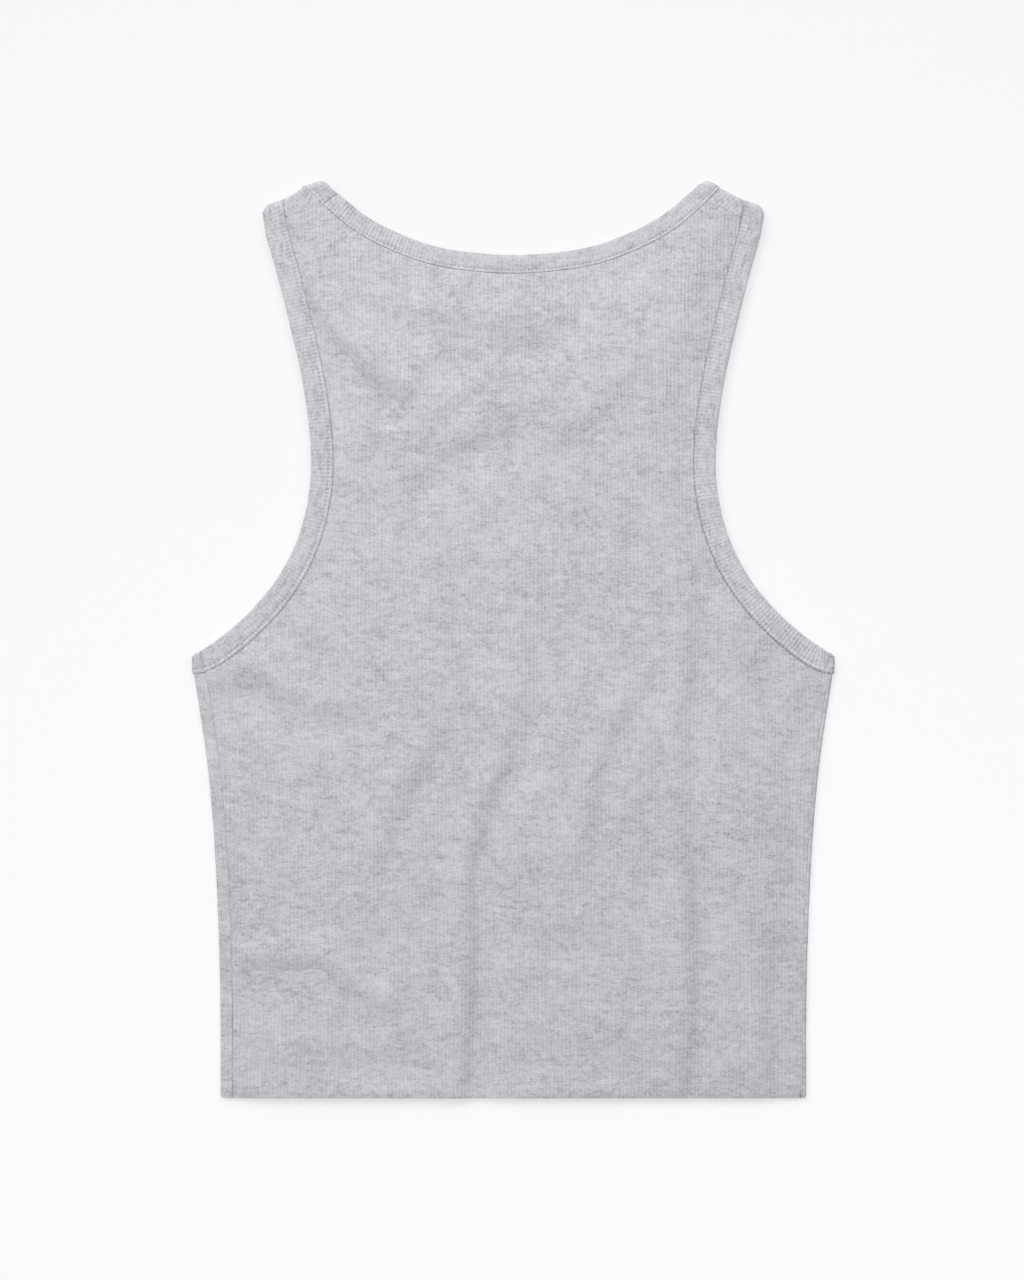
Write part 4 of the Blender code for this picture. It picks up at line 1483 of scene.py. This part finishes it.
def heather_rib_knit(name, roll=0.0, free_edge=0.0, holes=None):
    """Pale cotton with dark fibres spun in, as soft flecks along the courses and in loose clusters.

    It has painted shade between its ribs. A binding has a painted highlight on the ridge between its seam and
    the panel, and painted shade at its free edge, at a row of needle holes and along its seam.
    """
    cloth = settings()[0]
    nodes = Nodes(name)
    place, parts = nodes.cloth_place()
    light = (*cloth.light_yarn, 1.0)
    dark = (*cloth.dark_yarn, 1.0)

    fibres = USUAL_DARKNESS - float(HEATHER["share"].sum()) / 2
    for across, along, share in zip(*HEATHER.values()):
        patches = nodes.noise(place, (across, along, HEATHER_DEPTH), 1.0)
        fibres = nodes.math("MULTIPLY_ADD", patches, share, fibres)
    # The share of dark yarn: real dark fibres, to which painted shade and a painted highlight are added below
    dark_fibres_and_painted_shade = nodes.math("MULTIPLY", nodes.math("MULTIPLY", fibres, fibres), DARK_PATCHES)
    # Painted highlight on the rolled ridge beside the seam
    if roll:
        starts, ends = nodes.ramp(parts[1], *ROLL_START), nodes.ramp(parts[1], *ROLL_END)
        highlit_ridge = nodes.math("MULTIPLY", starts, ends)
        dark_fibres_and_painted_shade = nodes.math("MULTIPLY_ADD", highlit_ridge, -roll, dark_fibres_and_painted_shade)
    # Painted shade along the rounded free edge
    if free_edge:
        turned = nodes.ramp(parts[1], free_edge - EDGE_PAINTED_SHADE_WIDTH, free_edge)
        dark_fibres_and_painted_shade = nodes.math("MULTIPLY_ADD", turned, EDGE_PAINTED_SHADE, dark_fibres_and_painted_shade)
    grooves = nodes.math("COSINE", nodes.math("MULTIPLY", parts[0], 2 * math.pi / cloth.rib_pitch))
    grooves = nodes.math("POWER", nodes.math("MULTIPLY_ADD", grooves, -0.5, 0.5), GROOVE_POWER)
    # Painted shade at a row of needle holes, and more faintly along the seam line between them
    if holes:
        row = nodes.ramp(nodes.math("ABSOLUTE", nodes.math("SUBTRACT", parts[1], holes[0])), *HOLE_SHADE_ROW)
        row = nodes.math("MULTIPLY", row, nodes.math("MULTIPLY_ADD", grooves, 1.0 - HOLE_SHADE_LINE, HOLE_SHADE_LINE))
        dark_fibres_and_painted_shade = nodes.math("MULTIPLY_ADD", row, holes[1], dark_fibres_and_painted_shade)
    # Painted shade in the grooves between the ribs, in patches, with its mean taken off
    grooves = nodes.math("MULTIPLY", grooves, nodes.uneven(place, GROOVE_PATCHES))
    grooves = nodes.math("SUBTRACT", grooves, MEAN_GROOVE)
    dark_fibres_and_painted_shade = nodes.math("MULTIPLY_ADD", grooves, GROOVE_PAINTED_SHADE, dark_fibres_and_painted_shade)
    colour = nodes.mix(nodes.math("ADD", dark_fibres_and_painted_shade, 0.0, clamp=True), light, dark)
    tint = nodes.mix(nodes.uneven(place, TINT_PATCHES), COOL_TINT, WARM_TINT)

    # Stitches lean to both sides of each wale
    wale = nodes.math("PINGPONG", parts[0], WALE / 2)
    lean = nodes.math("MULTIPLY_ADD", wale, STITCH_LEAN * 2, parts[1])
    loops = nodes.math("SINE", nodes.math("MULTIPLY", lean, 2 * math.pi / COURSE))
    fuzz = nodes.noise(place, FUZZ_SIZES, *ROUGH_NOISE)
    relief = nodes.math("MULTIPLY_ADD", loops, LOOP_SHARE, nodes.math("MULTIPLY", fuzz, FUZZ_SHARE))
    shader = {
        "Base Color": nodes.multiplied(colour, tint),
        "Normal": nodes.bump(KNIT_BUMP, KNIT_BUMP_HEIGHT, relief),
        "Roughness": nodes.math("MULTIPLY_ADD", fuzz, FUZZ_SMOOTHS, KNIT_ROUGHNESS),
        "Specular IOR Level": KNIT_SPECULAR,
        "Sheen Weight": KNIT_SHEEN,
        "Sheen Roughness": KNIT_SHEEN_ROUGHNESS,
    }
    return nodes.finished(shader)


TWIST_ALONG, TWIST_ROUND = 14.0, 2.0
TWIST_SHADE, TWIST_SHARE = 0.8, 0.3
THREAD_BUMP, THREAD_BUMP_HEIGHT = 0.3, 0.00005  # the height in metres
THREAD_ROUGHNESS, THREAD_SHEEN = 0.75, 0.15


def sewing_thread(name, tone=1.0):
    """Pale spun thread with a fine twist, or a darker one whose tone stands in for painted shade."""
    nodes = Nodes(name)
    _, parts = nodes.cloth_place()
    round_it = nodes.math("MULTIPLY", parts[1], TWIST_ROUND)
    twist = nodes.math("SINE", nodes.math("MULTIPLY_ADD", parts[0], TWIST_ALONG, round_it))
    colour = [tone * channel for channel in settings()[1].thread]
    shade = [TWIST_SHADE * channel for channel in colour]
    share = nodes.math("MULTIPLY_ADD", twist, TWIST_SHARE, TWIST_SHARE)
    shader = {
        "Base Color": nodes.mix(share, (*colour, 1.0), (*shade, 1.0)),
        "Normal": nodes.bump(THREAD_BUMP, THREAD_BUMP_HEIGHT, twist),
        "Roughness": THREAD_ROUGHNESS,
        "Sheen Weight": THREAD_SHEEN,
    }
    return nodes.finished(shader)


FLOOR_TONE = (-0.112, 0.35)  # how much deeper in tone each metre along x and y
GRAIN_SIZES, GRAIN_RANGE, GRAIN_LOWEST = (0.004, 0.004, 0.004), 0.006, 0.997  # the sizes in metres


def matt_floor(name):
    """Pale paper with a fine grain, a little deeper in tone toward the lights so that it looks even."""
    nodes = Nodes(name)
    place = nodes.add("ShaderNodeTexCoord").outputs["Object"]
    grain = nodes.math("MULTIPLY_ADD", nodes.noise(place, GRAIN_SIZES), GRAIN_RANGE, GRAIN_LOWEST)
    tone = 1.0
    for part, deeper in zip(nodes.parts(place), FLOOR_TONE):
        tone = nodes.math("MULTIPLY_ADD", part, -deeper, tone)
    tone = nodes.math("MULTIPLY", tone, grain)
    tone = nodes.add("ShaderNodeCombineColor", {0: tone, 1: tone, 2: tone}).outputs[0]
    colour = nodes.multiplied((*settings()[2].floor_colour, 1.0), tone)
    return nodes.finished({"Base Color": colour, "Roughness": 1.0, "Specular IOR Level": 0.0})


# Operators


# Each piece's pattern number, so that no two pieces have the same flecks
PATTERNS = {"back": 1, "front": 2, "neck": 5, "left": 8, "right": 11}
BINDING_NODES = {
    "neck": "neck_binding",
    "left": "armhole_binding_left",
    "right": "armhole_binding_right",
}


def finish_piece(piece, node):
    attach(piece, "root")
    if node:
        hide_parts(node)
    return piece


class TANKTOP_OT_front_panel(bpy.types.Operator):
    """Adds the front panel, which lies underneath and comes round the shoulders and sides to its seams."""

    bl_idname = "tank_top.front_panel"
    bl_label = "Front Panel"

    def execute(self, context):
        turns, strips = fold_lines()
        fine = rib_columns(between_side_folds) + turns + strips
        plain = plain_grid() + turns
        material = heather_rib_knit("heather_rib_front")
        pattern = PATTERNS["front"]
        piece = add_wall("front_cloth", front_outline(), fine, plain, place_front, pattern, material)
        finish_piece(piece, "front_panel")
        return {"FINISHED"}


class TANKTOP_OT_back_panel(bpy.types.Operator):
    """Adds the back panel, uppermost, with its soft creases."""

    bl_idname = "tank_top.back_panel"
    bl_label = "Back Panel"

    def execute(self, context):
        material = heather_rib_knit("heather_rib_back")
        fine, plain = rib_columns(), plain_grid()
        pattern = PATTERNS["back"]
        piece = add_wall("back_cloth", back_outline(), fine, plain, place_back, pattern, material)
        finish_piece(piece, "back_panel")
        return {"FINISHED"}


class TANKTOP_OT_bindings(bpy.types.Operator):
    """Adds the folded strips round the neck and both armholes."""

    bl_idname = "tank_top.bindings"
    bl_label = "Bindings"

    def execute(self, context):
        for name, strip in STRIPS.items():
            # Only the neck binding gets painted shade at its free edge
            free_edge = 0.0
            if name == "neck":
                free_edge = settings()[1].neck_width - strip["seam_inset"]
            material = heather_rib_knit(
                f"heather_rib_{name}_binding",
                roll=ROLL_PAINTED_HIGHLIGHT,
                free_edge=free_edge,
                holes=strip["holes"],
            )
            piece = add_strip(f"{name}_binding_cloth", strip, PATTERNS[name], material)
            finish_piece(piece, BINDING_NODES[name])
        return {"FINISHED"}


class TANKTOP_OT_sewing(bpy.types.Operator):
    """Adds the rows of stitches on the bindings."""

    bl_idname = "tank_top.sewing"
    bl_label = "Sewing"

    def execute(self, context):
        rng = np.random.default_rng(SEWING_SEED)
        material = sewing_thread("sewing_thread")
        for name, strip in STRIPS.items():
            piece = add_stitches(f"{name}_stitches", *strip_seam(strip, rng), material)
            finish_piece(piece, None)
        finish_piece(add_stitches("knots", *knots(rng), material), None)
        # Darker thread across the joins: real stitches, with their dark tone painted shade of the join's
        # groove
        dark = sewing_thread("dark_thread_painted_shade", JOIN_SHADE_TONE)
        rows = [join_stitches(strip) for strip in STRIPS.values()]
        joins = [np.concatenate(parts) for parts in zip(*rows)]
        finish_piece(add_stitches("join_stitches", *joins, dark, JOIN_RADIUS), None)
        over_seam = shoulder_stitches(rng)
        finish_piece(add_stitches("shoulder_stitches", *over_seam, material), None)
        return {"FINISHED"}


class TANKTOP_OT_sheets(bpy.types.Operator):
    """Works out each panel's outline, with what lies under it and what is sewn on it; nothing more is done
    with them.
    """

    bl_idname = "tank_top.sheets"
    bl_label = "Cuts"

    def execute(self, context):
        sewn_on = [f"{name}_binding_cloth" for name in STRIPS]
        sewn_on += [f"{name}_stitches" for name in STRIPS]
        sewn_on += ["knots", "join_stitches", "shoulder_stitches"]
        cuts = {
            "back_cloth": (back_outline(), ["front_cloth"], sewn_on),
            "front_cloth": (front_outline(), ["floor"], []),
        }
        return {"FINISHED"}


FRAME_HEIGHT = 670.7  # how much the view takes in at the cloth
CLOTH_HEIGHT = 3.0  # how high above the floor that is measured
VIEW_CENTRE = (-0.73, 0.0)
VIEW_DISTANCE = 2000.0
SENSOR = 36.0
FLOOR_SIZE, FLOOR_HEIGHT = 8.0, -0.0002  # in metres
LIGHT_DISTANCE, LIGHT_HEIGHT, LIGHT_SIZE = 3.1, 48.0, 2.2  # in metres, degrees and metres
KEY_LEFT, KEY_RIGHT, FILL = (142.0, 0.55), (62.0, 0.45), 112.0  # azimuths, and each key light's share
WHITE = (1.0, 1.0, 1.0, 1.0)


class TANKTOP_OT_stage(bpy.types.Operator):
    """Adds the floor, the studio light and a camera that looks straight down."""

    bl_idname = "tank_top.stage"
    bl_label = "Stage"

    def execute(self, context):
        stage = settings()[2]
        scene = context.scene
        half = FLOOR_SIZE / 2
        mesh = bpy.data.meshes.new("floor")
        corners = ((-half, -half), (half, -half), (half, half), (-half, half))
        mesh.from_pydata([(*corner, FLOOR_HEIGHT) for corner in corners], [], [(0, 1, 2, 3)])
        mesh.materials.append(matt_floor("pale_floor"))
        floor = bpy.data.objects.new("floor", mesh)
        scene.collection.objects.link(floor)

        world = bpy.data.worlds.new("studio")
        world.use_nodes = True
        sky = world.node_tree.nodes["Background"].inputs
        sky["Color"].default_value = WHITE
        sky["Strength"].default_value = stage.sky_strength
        scene.world = world

        lights = {
            "key_left": (KEY_LEFT[0], KEY_LEFT[1] * stage.key_strength),
            "key_right": (KEY_RIGHT[0], KEY_RIGHT[1] * stage.key_strength),
            "fill": (FILL, stage.fill_strength),
        }
        for name, (azimuth, strength) in lights.items():
            turn = Euler((math.radians(90.0 - LIGHT_HEIGHT), 0.0, math.radians(azimuth + 90.0)))
            light = bpy.data.lights.new(name, "AREA")
            light.shape = "DISK"
            light.size = LIGHT_SIZE
            light.energy = strength
            light.use_shadow = name != "fill"
            lamp = bpy.data.objects.new(name, light)
            lamp.rotation_euler = turn
            lamp.location = turn.to_matrix() @ Vector((0.0, 0.0, LIGHT_DISTANCE))
            scene.collection.objects.link(lamp)

        camera_data = bpy.data.cameras.new("camera")
        camera_data.sensor_fit = "AUTO"
        camera_data.sensor_width = SENSOR
        camera_data.lens = SENSOR * VIEW_DISTANCE / FRAME_HEIGHT
        camera = bpy.data.objects.new("camera", camera_data)
        place = (*VIEW_CENTRE, VIEW_DISTANCE + CLOTH_HEIGHT)
        camera.location = [distance * MM for distance in place]
        scene.collection.objects.link(camera)
        scene.camera = camera
        scene.view_settings.view_transform = "Standard"
        return {"FINISHED"}


class TANKTOP_PT_panel(bpy.types.Panel):
    """Lists the steps and what can be changed."""

    bl_idname = "TANKTOP_PT_panel"
    bl_label = "Tank Top"
    bl_space_type = "VIEW_3D"
    bl_region_type = "UI"
    bl_category = "Tank Top"

    def draw(self, context):
        for group in settings():
            box = self.layout.box()
            for name in group.__annotations__:
                box.prop(group, name)
        for operator in OPERATORS:
            self.layout.operator(operator.bl_idname)


GROUPS = {
    "tank_top_cloth": TANKTOP_PG_cloth,
    "tank_top_binding": TANKTOP_PG_binding,
    "tank_top_stage": TANKTOP_PG_stage,
}
OPERATORS = (
    TANKTOP_OT_stage,
    TANKTOP_OT_front_panel,
    TANKTOP_OT_back_panel,
    TANKTOP_OT_bindings,
    TANKTOP_OT_sewing,
    TANKTOP_OT_sheets,
)


def register():
    for cls in (*GROUPS.values(), *OPERATORS, TANKTOP_PT_panel):
        bpy.utils.register_class(cls)
    for name, group in GROUPS.items():
        setattr(bpy.types.Scene, name, bpy.props.PointerProperty(type=group))


def unregister():
    for name in GROUPS:
        delattr(bpy.types.Scene, name)
    for cls in (TANKTOP_PT_panel, *reversed(OPERATORS), *reversed(GROUPS.values())):
        bpy.utils.unregister_class(cls)


def main():
    register()
    bpy.ops.tank_top.stage()
    bpy.ops.tank_top.front_panel()
    bpy.ops.tank_top.back_panel()
    bpy.ops.tank_top.bindings()
    bpy.ops.tank_top.sewing()
    bpy.ops.tank_top.sheets()


if __name__ == "__main__":
    main()
